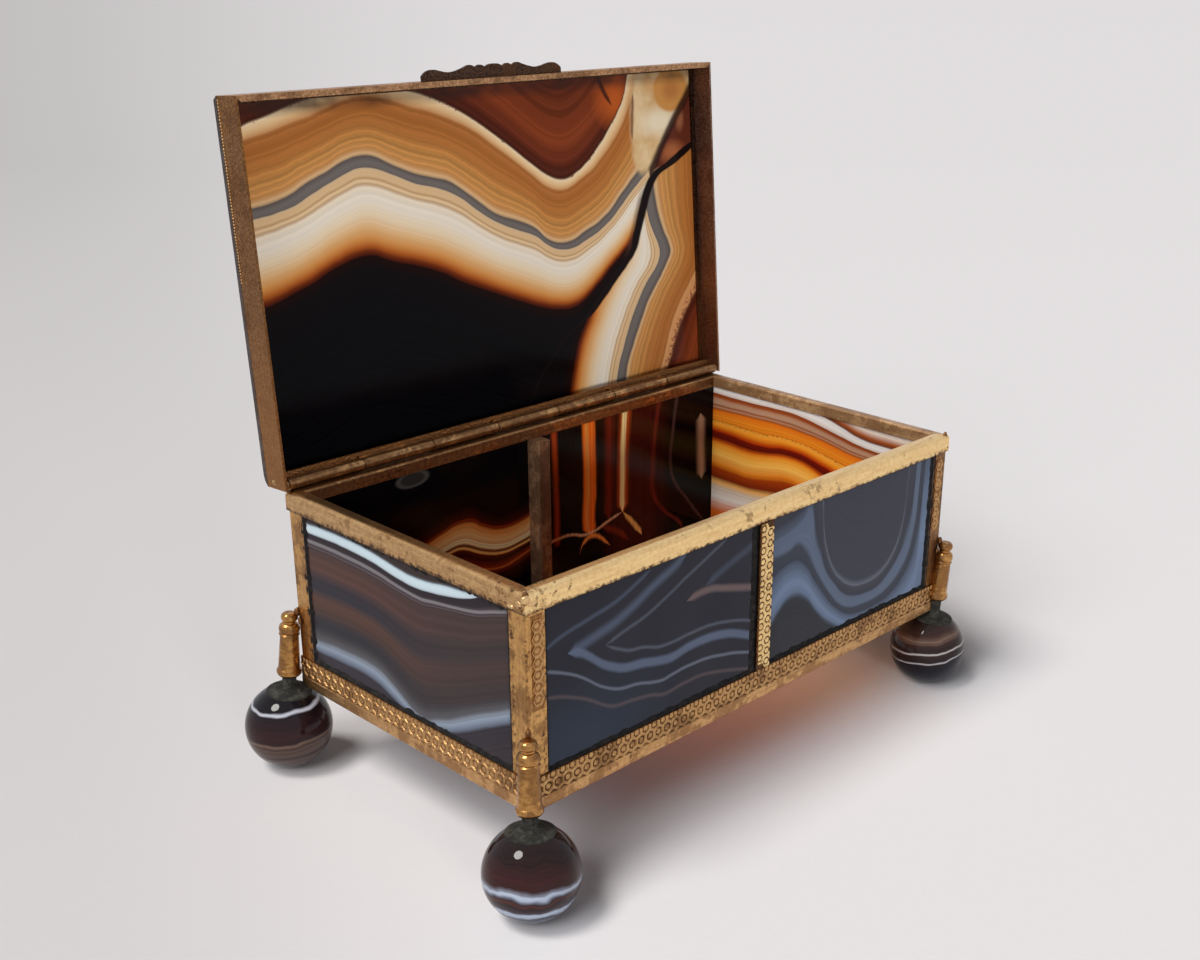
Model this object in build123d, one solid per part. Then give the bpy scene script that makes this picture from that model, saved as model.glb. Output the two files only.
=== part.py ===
from build123d import *
import os
from math import cos, pi, radians, sin

os.makedirs("parts", exist_ok=True)

# Agate casket in a gilt brass frame, on four turned colonettes with agate ball feet.
# Millimetres, +Z up, the front faces -Y. The origin is on the table under the middle of the box.

# Body
BOX_LENGTH = 120.0
BOX_DEPTH = 68.4
RIM_TOP = 58.4
BODY_BOTTOM = 17.2
SHEET = 0.35

# Rim channel, folded over the upper edge of the stone walls
RIM_WIDTH = 2.8
RIM_OUTER_LEG = 3.8
RIM_INNER_LEG = 2.6
RIM_OUTER_ROUND = 1.1
RIM_INNER_ROUND = 0.5

# Bottom rail with its moulded edge and the stamped gallery strip above it
MOULDING_HEIGHT = 2.5
GALLERY_HEIGHT = 4.2
MOULDING_INSET = 0.1
GALLERY_INSET = 0.15
LEDGE_REACH = 4.2
LEDGE_THICK = 0.5

# Corner posts
POST_LEG = 4.2

# Stone
STONE_THICK = 1.7
STONE_BEVEL = 0.3
FLOOR_THICK = 2.2
PUTTY_SHOWS = 0.55

# Mullions in the middle of the long walls
MULLION_STRIP_WIDTH = 4.0
MULLION_STRIP_THICK = 0.35
MULLION_STRIP_PROUD = 0.2
MULLION_STRIP_LIFT = 0.3
MULLION_STRIP_ROUND = 0.9
MULLION_NECK_WIDTH = 2.6
MULLION_WEB = 1.2
MULLION_BAR_WIDTH = 3.4
MULLION_BAR_DEPTH = 3.6

# Hinge along the back edge
BARREL_RADIUS = 1.15
HINGE_HEIGHT = 1.2
HINGE_INSET = 0.4
HINGE_LENGTH = 119.0
KNUCKLES = 7
KNUCKLE_GAP = 0.2
PIN_RADIUS = 0.5
PIN_CLEARANCE = 0.05
PIN_HEAD_RADIUS = 0.85
LEAF_DROP = 2.5
LEAF_THICK = 0.3
LEAF_GAP = 0.2
STRAP_FRONT = 1.4
STRAP_BITE = 0.15
LID_OPEN_ANGLE = 94.0

# Lid
LID_HALF_LENGTH = 60.7
LID_FRONT = -36.6
LID_BACK = 34.8
LID_DEPTH = 8.6
LID_GAP = 0.1
LID_SHEET = 0.5
LID_BEVEL_HEIGHT = 2.4
LID_BEVEL_INSET = 0.8
LID_BEZEL = 1.9
LID_BEZEL_THICK = 0.55
LID_FRONT_LIP = 1.1
LID_BACK_LIP = 3.0
LID_LIP_THICK = 0.5
LID_BACK_ROUND = 2.2
SLAB_THICK = 2.5
SLAB_EDGE = 1.25
BEAD_WIDTH = 1.1
BEAD_HEIGHT = 0.5

# Thumbpiece on the front of the lid
THUMB_THICK = 0.6
THUMB_HEIGHT_ON_LID = 0.8
THUMB_MIDDLE = -2.0

# Feet. The colonettes bite into the corners, and old solder has let the balls splay out,
# apart from the front right one, which has been bent back under its corner.
COLONETTE_LENGTH = 13.6
COLONETTE_OFFSET = 1.2
PEG_RADIUS = 0.9
PEG_DEPTH = 7.0
PEG_CLEARANCE = 0.03
CEMENT_TOP_RADIUS = 1.35
CEMENT_SKIRT_RADIUS = 4.4
CEMENT_SKIRT_THICK = 0.3
FEET = {
    "front_left": {"side": (-1, -1), "ball_offset": (2.7, 3.0), "ball_radius": 8.6, "lift": 19.3},
    "front_right": {"side": (1, -1), "ball_offset": (-0.5, -0.5), "ball_radius": 8.3, "lift": 20.0},
    "back_left": {"side": (-1, 1), "ball_offset": (2.7, 2.7), "ball_radius": 8.6, "lift": 19.7},
    "back_right": {"side": (1, 1), "ball_offset": (2.7, 2.7), "ball_radius": 8.6, "lift": 19.7},
}

# Values that follow from the sizes above
HALF_LENGTH = BOX_LENGTH / 2
HALF_DEPTH = BOX_DEPTH / 2
RAIL_TOP = BODY_BOTTOM + MOULDING_HEIGHT + GALLERY_HEIGHT
POST_INSET = SHEET
STONE_OUT = 2 * SHEET + 0.05
STONE_IN = STONE_OUT + STONE_THICK
STONE_BOTTOM = BODY_BOTTOM + LEDGE_THICK
STONE_TOP = RIM_TOP - SHEET - 0.05
FLOOR_TOP = STONE_BOTTOM + FLOOR_THICK
POST_TOP = RIM_TOP - RIM_OUTER_ROUND
HINGE_Y = HALF_DEPTH - HINGE_INSET
HINGE_Z = RIM_TOP + HINGE_HEIGHT
LID_BASE = RIM_TOP + LID_GAP
LID_BACK_RISE = HINGE_HEIGHT + BARREL_RADIUS + 0.3 - LID_GAP
LID_BACK_FOOT = LID_BASE + LID_BACK_RISE
SLAB_TOP = LID_DEPTH - LID_BEZEL_THICK - 0.05
SLAB_FACE = SLAB_TOP - SLAB_THICK
HINGE_AXIS = Axis((0, HINGE_Y, HINGE_Z), (1, 0, 0))
SIDE_TURN = {"front": 0, "right": 90, "back": 180, "left": 270}

made = {}


def keep(name, solid):
    """Names a finished piece."""
    solid.label = name
    made[name] = solid


def block(x0, x1, y0, y1, z0, z1):
    """A rectangular solid between two corners."""
    size = (x1 - x0, y1 - y0, z1 - z0)
    return Pos(x0, y0, z0) * Box(*size, align=(Align.MIN, Align.MIN, Align.MIN))


def area(u0, u1, v0, v1):
    """A rectangle between two corners of a section."""
    return Pos(u0, v0) * Rectangle(u1 - u0, v1 - v0, align=(Align.MIN, Align.MIN))


def round_corner(section, toward, radius):
    """Rounds the corner of a section that lies furthest in the direction toward."""
    corner = section.vertices().sort_by(lambda v: v.X * toward[0] + v.Y * toward[1])[-1]
    return fillet(corner, radius)


def outline(points):
    """A closed section through straight-sided corners."""
    return make_face(Polyline(*points, close=True))


def mitred_side(section, side, half_length, half_depth, width):
    """One side of a rectangular frame, mitred at both ends.

    The section is drawn inward from the outer face (0 at the face) and upward in true height.
    """
    if side in ("left", "right"):
        half_length, half_depth = half_depth, half_length
    bar = extrude(Plane.YZ * Pos(-half_depth, 0) * section, half_length + 2, both=True)
    spare = 2.0
    wedge = outline(
        [
            (-half_length - spare, -half_depth - spare),
            (half_length + spare, -half_depth - spare),
            (half_length - width, -half_depth + width),
            (-half_length + width, -half_depth + width),
        ]
    )
    return Rot(0, 0, SIDE_TURN[side]) * (bar & extrude(wedge, RIM_TOP + LID_DEPTH + 5))


def revolved(profile):
    """Turns a closed profile, drawn in X and Z, about the Z axis."""
    return revolve(profile, Axis.Z)


# Rim


def rim_section():
    skin = area(0, RIM_WIDTH, RIM_TOP - RIM_OUTER_LEG, RIM_TOP)
    skin = round_corner(skin, (-1, 1), RIM_OUTER_ROUND)
    skin = round_corner(skin, (1, 1), RIM_INNER_ROUND)
    hollow = area(SHEET, RIM_WIDTH - SHEET, RIM_TOP - RIM_OUTER_LEG - 1, RIM_TOP - SHEET)
    hollow = round_corner(hollow, (-1, 1), RIM_OUTER_ROUND - SHEET)
    below = area(1.0, RIM_WIDTH + 1, RIM_TOP - RIM_OUTER_LEG - 1, RIM_TOP - RIM_INNER_LEG)
    return skin - hollow - below


for side in SIDE_TURN:
    keep(f"rim_{side}", mitred_side(rim_section(), side, HALF_LENGTH, HALF_DEPTH, RIM_WIDTH))


# Bottom rail and gallery strip


def rail_section():
    edge = area(MOULDING_INSET, STONE_OUT, BODY_BOTTOM, BODY_BOTTOM + MOULDING_HEIGHT)
    edge = round_corner(edge, (-1, -1), 0.5)
    edge = round_corner(edge, (-1, 1), 0.3)
    wall = area(SHEET, STONE_OUT, BODY_BOTTOM + MOULDING_HEIGHT / 2, RAIL_TOP)
    ledge = area(MOULDING_INSET + 0.5, LEDGE_REACH, BODY_BOTTOM, STONE_BOTTOM)
    return edge + wall + ledge


def gallery_section():
    return area(GALLERY_INSET, SHEET, BODY_BOTTOM + MOULDING_HEIGHT, RAIL_TOP)


for side in SIDE_TURN:
    keep(f"rail_{side}", mitred_side(rail_section(), side, HALF_LENGTH, HALF_DEPTH, LEDGE_REACH))
    keep(f"gallery_{side}", mitred_side(gallery_section(), side, HALF_LENGTH, HALF_DEPTH, LEDGE_REACH))


# Corner posts, each a folded angle


def corner_post(sx, sy):
    x0 = HALF_LENGTH - POST_INSET
    y0 = HALF_DEPTH - POST_INSET
    leg = SHEET
    angle = area(x0 - POST_LEG, x0, y0 - leg, y0) + area(x0 - leg, x0, y0 - POST_LEG, y0)
    angle = round_corner(angle, (1, 1), 0.3)
    if sx < 0:
        angle = mirror(angle, Plane.YZ)
    if sy < 0:
        angle = mirror(angle, Plane.XZ)
    return extrude(Pos(0, 0, RAIL_TOP) * angle, amount=POST_TOP - RAIL_TOP, dir=(0, 0, 1))


for corner, foot in FEET.items():
    keep(f"post_{corner}", corner_post(*foot["side"]))


# Stone walls and floor, and the putty that beds the walls


def stone_panel(x0, x1, y0, y1, z0, z1, outward):
    slab = block(x0, x1, y0, y1, z0, z1)
    face = slab.faces().sort_by(Axis((0, 0, 0), outward))[-1]
    return chamfer(face.edges(), STONE_BEVEL)


def putty_ring(u0, u1, v0, v1, show0, show1):
    """A thin ring of putty, drawn flat, with its inner edge sloping on to the stone."""
    depth = STONE_OUT - SHEET
    ring = extrude(area(u0, u1, v0, v1), depth)
    window = area(show0[0], show1[0], show0[1], show1[1])
    return ring - extrude(window, depth, taper=-30)


WINDOW_BOTTOM = RAIL_TOP + PUTTY_SHOWS
WINDOW_TOP = RIM_TOP - RIM_OUTER_LEG - PUTTY_SHOWS
PUTTY_TOP = RIM_TOP - RIM_OUTER_LEG + 1.2
POST_EDGE = POST_INSET + POST_LEG


def long_wall(side):
    """The two stones and the two putty rings of the front or the back, seen from outside."""
    turn = Rot(0, 0, SIDE_TURN[side])
    names = ("left", "right") if side == "front" else ("right", "left")
    y0 = -HALF_DEPTH + STONE_OUT
    y1 = -HALF_DEPTH + STONE_IN
    end = HALF_LENGTH - STONE_OUT - 0.05
    middle = MULLION_WEB / 2 + 0.05
    for name, x0, x1 in ((names[0], -end, -middle), (names[1], middle, end)):
        stone = stone_panel(x0, x1, y0, y1, STONE_BOTTOM, STONE_TOP, (0, -1, 0))
        keep(f"stone_{side}_{name}", turn * stone)
    outer = HALF_LENGTH - POST_EDGE
    inner = MULLION_NECK_WIDTH / 2
    for name, x0, x1 in ((names[0], -outer, -inner), (names[1], inner, outer)):
        low = (x0 + PUTTY_SHOWS, WINDOW_BOTTOM)
        high = (x1 - PUTTY_SHOWS, WINDOW_TOP)
        ring = putty_ring(x0, x1, RAIL_TOP, PUTTY_TOP, low, high)
        keep(f"putty_{side}_{name}", turn * Pos(0, y0, 0) * Rot(90, 0, 0) * ring)


def end_wall(side):
    """The stone and the putty ring of one end."""
    turn = Rot(0, 0, SIDE_TURN[side])
    y0 = -HALF_LENGTH + STONE_OUT
    y1 = -HALF_LENGTH + STONE_IN
    end = HALF_DEPTH - STONE_IN - 0.05
    stone = stone_panel(-end, end, y0, y1, STONE_BOTTOM, STONE_TOP, (0, -1, 0))
    keep(f"stone_{side}", turn * stone)
    outer = HALF_DEPTH - POST_EDGE
    low = (-outer + PUTTY_SHOWS, WINDOW_BOTTOM)
    high = (outer - PUTTY_SHOWS, WINDOW_TOP)
    ring = putty_ring(-outer, outer, RAIL_TOP, PUTTY_TOP, low, high)
    keep(f"putty_{side}", turn * Pos(0, y0, 0) * Rot(90, 0, 0) * ring)


long_wall("front")
long_wall("back")
end_wall("left")
end_wall("right")

floor_x = HALF_LENGTH - STONE_IN - 0.05
floor_y = HALF_DEPTH - STONE_IN - 0.05
keep("stone_floor", block(-floor_x, floor_x, -floor_y, floor_y, STONE_BOTTOM, FLOOR_TOP))


# Mullions: a core that holds two stones apart, and a stamped strip soldered on its face


def mullion_core():
    face = -HALF_DEPTH
    neck = MULLION_NECK_WIDTH / 2
    web = MULLION_WEB / 2
    bar = MULLION_BAR_WIDTH / 2
    front = block(-neck, neck, face + 0.15, face + STONE_OUT, RAIL_TOP, RIM_TOP - RIM_OUTER_LEG)
    middle = block(-web, web, face + STONE_OUT, face + STONE_IN, FLOOR_TOP, STONE_TOP)
    depth = face + STONE_IN + MULLION_BAR_DEPTH
    inner = block(-bar, bar, face + STONE_IN, depth, FLOOR_TOP, RIM_TOP - RIM_INNER_LEG)
    nose = inner.edges().filter_by(Axis.Z).group_by(Axis.Y)[-1]
    return front + middle + fillet(nose, 0.5)


def mullion_strip():
    half = MULLION_STRIP_WIDTH / 2
    strip = area(-half, half, RAIL_TOP + MULLION_STRIP_LIFT, RIM_TOP - RIM_OUTER_LEG)
    strip = fillet(strip.vertices().group_by(Axis.Y)[0], MULLION_STRIP_ROUND)
    proud = -HALF_DEPTH + MULLION_STRIP_THICK - MULLION_STRIP_PROUD
    return Pos(0, proud, 0) * extrude(Plane.XZ * strip, MULLION_STRIP_THICK)


for side in ("front", "back"):
    keep(f"mullion_core_{side}", Rot(0, 0, SIDE_TURN[side]) * mullion_core())
    keep(f"mullion_strip_{side}", Rot(0, 0, SIDE_TURN[side]) * mullion_strip())


# Feet


def colonette_profile():
    """Half outline of the turned colonette, from its foot at 0 up to the knob."""
    lines = [
        Line((0, 0), (1.7, 0)),
        ThreePointArc((1.7, 0), (2.4, 0.6), (2.3, 1.5)),
        Line((2.3, 1.5), (2.15, 1.7)),
        Line((2.15, 1.7), (1.8, 8.9)),
        Line((1.8, 8.9), (2.05, 9.1)),
        Line((2.05, 9.1), (1.8, 9.4)),
        ThreePointArc((1.8, 9.4), (2.02, 10.5), (1.2, 11.5)),
        Line((1.2, 11.5), (1.2, 11.8)),
        ThreePointArc((1.2, 11.8), (1.65, 12.7), (0.8, COLONETTE_LENGTH)),
        Line((0.8, COLONETTE_LENGTH), (0, COLONETTE_LENGTH)),
        Line((0, COLONETTE_LENGTH), (0, 0)),
    ]
    return make_face(Plane.XZ * Wire(lines))


def cement_profile(radius, neck):
    """Cement between the ball and the colonette, from the ball's centre upward."""
    skirt = (radius**2 - CEMENT_SKIRT_RADIUS**2) ** 0.5
    flare = Spline(
        (CEMENT_TOP_RADIUS, neck),
        (1.7, radius + 0.25),
        (CEMENT_SKIRT_RADIUS, skirt + CEMENT_SKIRT_THICK),
        tangents=((0.05, -1), (1, -0.62)),
    )
    lines = [
        flare,
        Line((CEMENT_SKIRT_RADIUS, skirt + CEMENT_SKIRT_THICK), (CEMENT_SKIRT_RADIUS, skirt)),
        Line((CEMENT_SKIRT_RADIUS, skirt), (0, skirt)),
        Line((0, skirt), (0, neck)),
        Line((0, neck), (CEMENT_TOP_RADIUS, neck)),
    ]
    return make_face(Plane.XZ * Wire(lines))


corner_solid = block(
    -HALF_LENGTH + POST_INSET,
    HALF_LENGTH - POST_INSET,
    -HALF_DEPTH + POST_INSET,
    HALF_DEPTH - POST_INSET,
    RAIL_TOP,
    RIM_TOP,
) + block(
    -HALF_LENGTH + MOULDING_INSET,
    HALF_LENGTH - MOULDING_INSET,
    -HALF_DEPTH + MOULDING_INSET,
    HALF_DEPTH - MOULDING_INSET,
    BODY_BOTTOM,
    RAIL_TOP,
)

for corner, foot in FEET.items():
    sx, sy = foot["side"]
    radius = foot["ball_radius"]
    post_x = sx * (HALF_LENGTH - POST_INSET)
    post_y = sy * (HALF_DEPTH - POST_INSET)
    ball_x = post_x + sx * foot["ball_offset"][0]
    ball_y = post_y + sy * foot["ball_offset"][1]
    top_z = foot["lift"] + COLONETTE_LENGTH
    top = Vector(post_x + sx * COLONETTE_OFFSET, post_y + sy * COLONETTE_OFFSET, top_z)
    centre = Vector(ball_x, ball_y, radius)
    axis_frame = Plane(origin=centre, z_dir=top - centre)
    neck = foot["lift"] - radius
    ball = Sphere(radius)
    bore_bottom = radius - PEG_DEPTH
    bore = Pos(0, 0, bore_bottom) * Cylinder(
        PEG_RADIUS + PEG_CLEARANCE, neck - bore_bottom, align=(Align.CENTER, Align.CENTER, Align.MIN)
    )
    peg_top = neck - 0.2
    peg_bottom = bore_bottom + 0.2
    peg = Pos(0, 0, peg_bottom) * Cylinder(
        PEG_RADIUS, peg_top - peg_bottom, align=(Align.CENTER, Align.CENTER, Align.MIN)
    )
    cement = revolved(cement_profile(radius, peg_top)) - ball - bore
    colonette = Pos(0, 0, neck) * revolved(colonette_profile())
    keep(f"ball_{corner}", axis_frame * (ball - bore))
    keep(f"peg_{corner}", axis_frame * peg - corner_solid)
    keep(f"cement_{corner}", axis_frame * cement - corner_solid)
    keep(f"colonette_{corner}", axis_frame * colonette - corner_solid)


# Hinge: alternate knuckles on one pin. The body's leaf runs along the back of the rim, and the lid's
# knuckles are soldered under the lip of its back wall.

KNUCKLE_LENGTH = (HINGE_LENGTH - KNUCKLE_GAP * (KNUCKLES - 1)) / KNUCKLES
hinge_half = HINGE_LENGTH / 2


def knuckle(index, leaf):
    """One knuckle with its leaf or strap, on the hinge axis."""
    x0 = -hinge_half + index * (KNUCKLE_LENGTH + KNUCKLE_GAP)
    barrel = Plane.YZ * Pos(HINGE_Y, HINGE_Z) * Circle(BARREL_RADIUS)
    bore = Plane.YZ * Pos(HINGE_Y, HINGE_Z) * Circle(PIN_RADIUS + PIN_CLEARANCE)
    section = barrel + Plane.YZ * leaf - bore
    return Pos(x0, 0, 0) * extrude(section, amount=KNUCKLE_LENGTH, dir=(1, 0, 0))


leaf_out = HALF_DEPTH + LEAF_THICK
leaf_bottom = RIM_TOP - LEAF_DROP
leaf_top = HINGE_Z - STRAP_BITE
strap_bottom = HINGE_Z + BARREL_RADIUS - STRAP_BITE
body_strap = area(HALF_DEPTH, leaf_out, leaf_bottom, leaf_top)
lid_strap = area(HINGE_Y - STRAP_FRONT, LID_BACK - STRAP_BITE, strap_bottom, LID_BACK_FOOT)
body_hinge = block(-hinge_half, hinge_half, HALF_DEPTH, leaf_out, leaf_bottom, RIM_TOP - LEAF_GAP)
for index in range(0, KNUCKLES, 2):
    body_hinge += knuckle(index, body_strap)
lid_knuckles = [knuckle(i, lid_strap) for i in range(1, KNUCKLES, 2)]
keep("hinge_knuckles_body", body_hinge)

pin_face = Plane.YZ * Pos(HINGE_Y, HINGE_Z)
pin = extrude(pin_face * Circle(PIN_RADIUS), hinge_half + 0.1, both=True)
for end in (-1, 1):
    head = extrude(pin_face * Circle(PIN_HEAD_RADIUS), amount=0.4, dir=(end, 0, 0))
    pin = pin + Pos(end * (hinge_half + 0.05), 0, 0) * head
keep("hinge_pin", pin)


# Lid, drawn closed


def lid_wall_section(lip, foot):
    """Lid wall from its lip on the mating plane to the bezel that holds the slab."""
    shoulder = LID_DEPTH - LID_BEVEL_HEIGHT
    under = LID_DEPTH - LID_BEZEL_THICK
    slope_in = LID_SHEET + LID_BEVEL_INSET * (under - shoulder) / LID_BEVEL_HEIGHT
    wall = [(0, foot), (0, shoulder), (LID_BEVEL_INSET, LID_DEPTH), (LID_BEZEL, LID_DEPTH)]
    wall += [(LID_BEZEL, under), (slope_in, under), (LID_SHEET, shoulder)]
    if lip:
        wall += [(LID_SHEET, foot + LID_LIP_THICK), (lip, foot + LID_LIP_THICK), (lip, foot)]
    else:
        wall += [(LID_SHEET, foot)]
    return Pos(0, LID_BASE) * outline(wall)


LID_MIDDLE = (LID_FRONT + LID_BACK) / 2
LID_HALF_DEPTH = (LID_BACK - LID_FRONT) / 2
lid_envelope = block(-LID_HALF_LENGTH, LID_HALF_LENGTH, LID_FRONT, LID_BACK, LID_BASE, LID_BASE + LID_DEPTH)
back_edge = lid_envelope.edges().filter_by(Axis.X).sort_by(lambda e: e.center().Y + e.center().Z)[-1]
lid_envelope = fillet(back_edge, LID_BACK_ROUND)
lid_parts = {}

for side in SIDE_TURN:
    lip = LID_FRONT_LIP if side == "front" else 0
    foot = LID_BACK_RISE if side == "back" else 0
    section = lid_wall_section(lip, foot)
    wall = mitred_side(section, side, LID_HALF_LENGTH, LID_HALF_DEPTH, LID_BEZEL)
    lid_parts[f"lid_wall_{side}"] = Pos(0, LID_MIDDLE, 0) * wall & lid_envelope

lip_x = LID_HALF_LENGTH - LID_SHEET
lip_front = LID_BACK - LID_BACK_LIP
lip_back = LID_BACK - LID_SHEET
back_lip = block(-lip_x, lip_x, lip_front, lip_back, LID_BACK_FOOT, LID_BACK_FOOT + LID_LIP_THICK)
lid_parts["lid_wall_back"] += back_lip

slab_x = LID_HALF_LENGTH - SLAB_EDGE
slab = block(
    -slab_x,
    slab_x,
    LID_FRONT + SLAB_EDGE,
    LID_BACK - SLAB_EDGE,
    LID_BASE + SLAB_FACE,
    LID_BASE + SLAB_TOP,
)
lid_parts["lid_slab"] = slab

bead_out = (LID_HALF_LENGTH - LID_SHEET, LID_HALF_DEPTH - LID_SHEET)
bead_flat = Rectangle(2 * bead_out[0], 2 * bead_out[1])
bead_flat -= Rectangle(2 * (bead_out[0] - BEAD_WIDTH), 2 * (bead_out[1] - BEAD_WIDTH))
bead = Pos(0, LID_MIDDLE, LID_BASE + SLAB_FACE - BEAD_HEIGHT) * extrude(bead_flat, BEAD_HEIGHT)
lid_parts["lid_bead"] = bead
lid_parts["hinge_knuckles_lid"] = Compound(children=lid_knuckles)


def thumbpiece():
    """Scalloped thumbpiece, drawn flat with its root on the X axis."""
    slope = [(7.0, 2.4), (9.0, 1.8), (11.0, 1.5), (13.0, 1.75), (15.0, 2.15), (16.6, 1.9), (17.8, 1.0)]
    right = [
        ThreePointArc((0, 2.6), (1.4, 2.45), (2.3, 2.0)),
        ThreePointArc((2.3, 2.0), (3.6, 2.55), (4.7, 2.0)),
        ThreePointArc((4.7, 2.0), (5.6, 2.55), slope[0]),
        Spline(*slope),
        Line(slope[-1], (17.8, 0)),
        Line((17.8, 0), (0, 0)),
        Line((0, 0), (0, 2.6)),
    ]
    half = make_face(Wire(right))
    return extrude(half + mirror(half, Plane.YZ), THUMB_THICK)


thumb_top = LID_BASE + THUMB_HEIGHT_ON_LID + THUMB_THICK
thumb_place = Pos(THUMB_MIDDLE, LID_FRONT, thumb_top) * Rot(180, 0, 0)
lid_parts["thumbpiece"] = thumb_place * thumbpiece()

for name, solid in lid_parts.items():
    keep(name, solid.rotate(HINGE_AXIS, -LID_OPEN_ANGLE))


for name, solid in made.items():
    export_step(solid, f"parts/{name}.step")
print(len(made), "sub-parts")
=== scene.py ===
# %% [markdown]
# # A casket of agate plates in a gilt brass frame
# This lesson dresses a finished CAD model. The model gives every size and every joint, so nothing here
# moves a CAD part. What is left to Blender is the look: banded stone, worn gilding, stamped honeycomb
# strip, solder, cement, and the light in the studio.

# %% Load the frame
import math
import random
import bpy
import bmesh
from mathutils import Matrix, Vector, noise


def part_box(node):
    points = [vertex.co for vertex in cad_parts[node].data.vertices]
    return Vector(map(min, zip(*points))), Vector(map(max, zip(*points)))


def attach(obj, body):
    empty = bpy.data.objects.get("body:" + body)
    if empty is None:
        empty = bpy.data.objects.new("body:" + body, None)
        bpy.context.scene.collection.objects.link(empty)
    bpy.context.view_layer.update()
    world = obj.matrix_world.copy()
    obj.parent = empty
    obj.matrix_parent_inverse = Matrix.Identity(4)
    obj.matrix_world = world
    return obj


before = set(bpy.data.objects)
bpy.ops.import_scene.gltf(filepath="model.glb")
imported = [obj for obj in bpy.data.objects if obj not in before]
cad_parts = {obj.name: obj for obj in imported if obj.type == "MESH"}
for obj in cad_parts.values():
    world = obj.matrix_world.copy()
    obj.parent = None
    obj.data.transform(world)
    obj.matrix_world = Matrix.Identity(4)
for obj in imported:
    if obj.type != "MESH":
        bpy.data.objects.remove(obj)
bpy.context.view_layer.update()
MM = 0.001

# %% [markdown]
# ## Where the photographer stood
# A camera is a place, three angles and a focal length. These were found by fitting the box's own corners
# and edges, so the picture lines up with the frame. The shift says how far the optical axis is from the
# middle of the picture.

# %% The camera
IMAGE_WIDE, IMAGE_HIGH = 1200, 960
EYE = Vector((-203.04, -202.30, 156.42)) * MM
YAW, TILT, ROLL = (math.radians(a) for a in (46.7775, 21.9408, 0.7554))
FOCAL_PIXELS = 1503.87
AXIS_ACROSS, AXIS_DOWN = 678.53, 541.21
SENSOR = 36.0


def eye_axes(yaw, pitch, roll):
    """The camera's right, up and forward directions."""
    forward = Vector((math.sin(yaw) * math.cos(pitch), math.cos(yaw) * math.cos(pitch), -math.sin(pitch)))
    level = Vector((math.cos(yaw), -math.sin(yaw), 0.0))
    upright = level.cross(forward)
    right = math.cos(roll) * level + math.sin(roll) * upright
    up = -math.sin(roll) * level + math.cos(roll) * upright
    return right, up, forward


def aim(yaw, pitch, roll, place):
    """A matrix that stands at a place and looks along the given angles."""
    right, up, forward = eye_axes(yaw, pitch, roll)
    turn = Matrix((right, up, -forward)).transposed()
    return Matrix.Translation(place) @ turn.to_4x4()


scene = bpy.context.scene
lens = bpy.data.cameras.new("photo_camera")
lens.sensor_width = SENSOR
lens.lens = FOCAL_PIXELS * SENSOR / IMAGE_WIDE
lens.shift_x = (IMAGE_WIDE / 2 - AXIS_ACROSS) / IMAGE_WIDE
lens.shift_y = (AXIS_DOWN - IMAGE_HIGH / 2) / IMAGE_WIDE
lens.clip_start = 0.01
eye = bpy.data.objects.new("photo_camera", lens)
scene.collection.objects.link(eye)
eye.matrix_world = aim(YAW, TILT, ROLL, EYE)
scene.camera = eye
scene.view_settings.view_transform = "Standard"
print("lens %.1f mm, shift %.4f %.4f" % (lens.lens, lens.shift_x, lens.shift_y))

# %% [markdown]
# ## Writing materials as wiring
# A node material is wiring between sockets. Written out one node at a time it is long, so a small helper
# adds a node, fills its inputs with numbers or with other nodes' outputs, and returns the output. Colours
# are noted as a paint program shows them, 0 to 255, and turned into light values once.

# %% Colour and wiring helpers
OBJECT_PLACE = 3
COLOUR_A, COLOUR_B, COLOUR_OUT = 6, 7, 2


def tone(red, green, blue):
    """A linear colour with alpha from the 0-255 numbers that a paint program shows."""
    def linear(v):
        v /= 255.0
        return v / 12.92 if v <= 0.04045 else ((v + 0.055) / 1.055) ** 2.4
    return (linear(red), linear(green), linear(blue), 1.0)


def bands(*rows):
    """Stops for a colour ramp: each row is a value, then the red, green and blue it has there."""
    return [(value, tone(*colour)) for value, *colour in rows]


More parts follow.
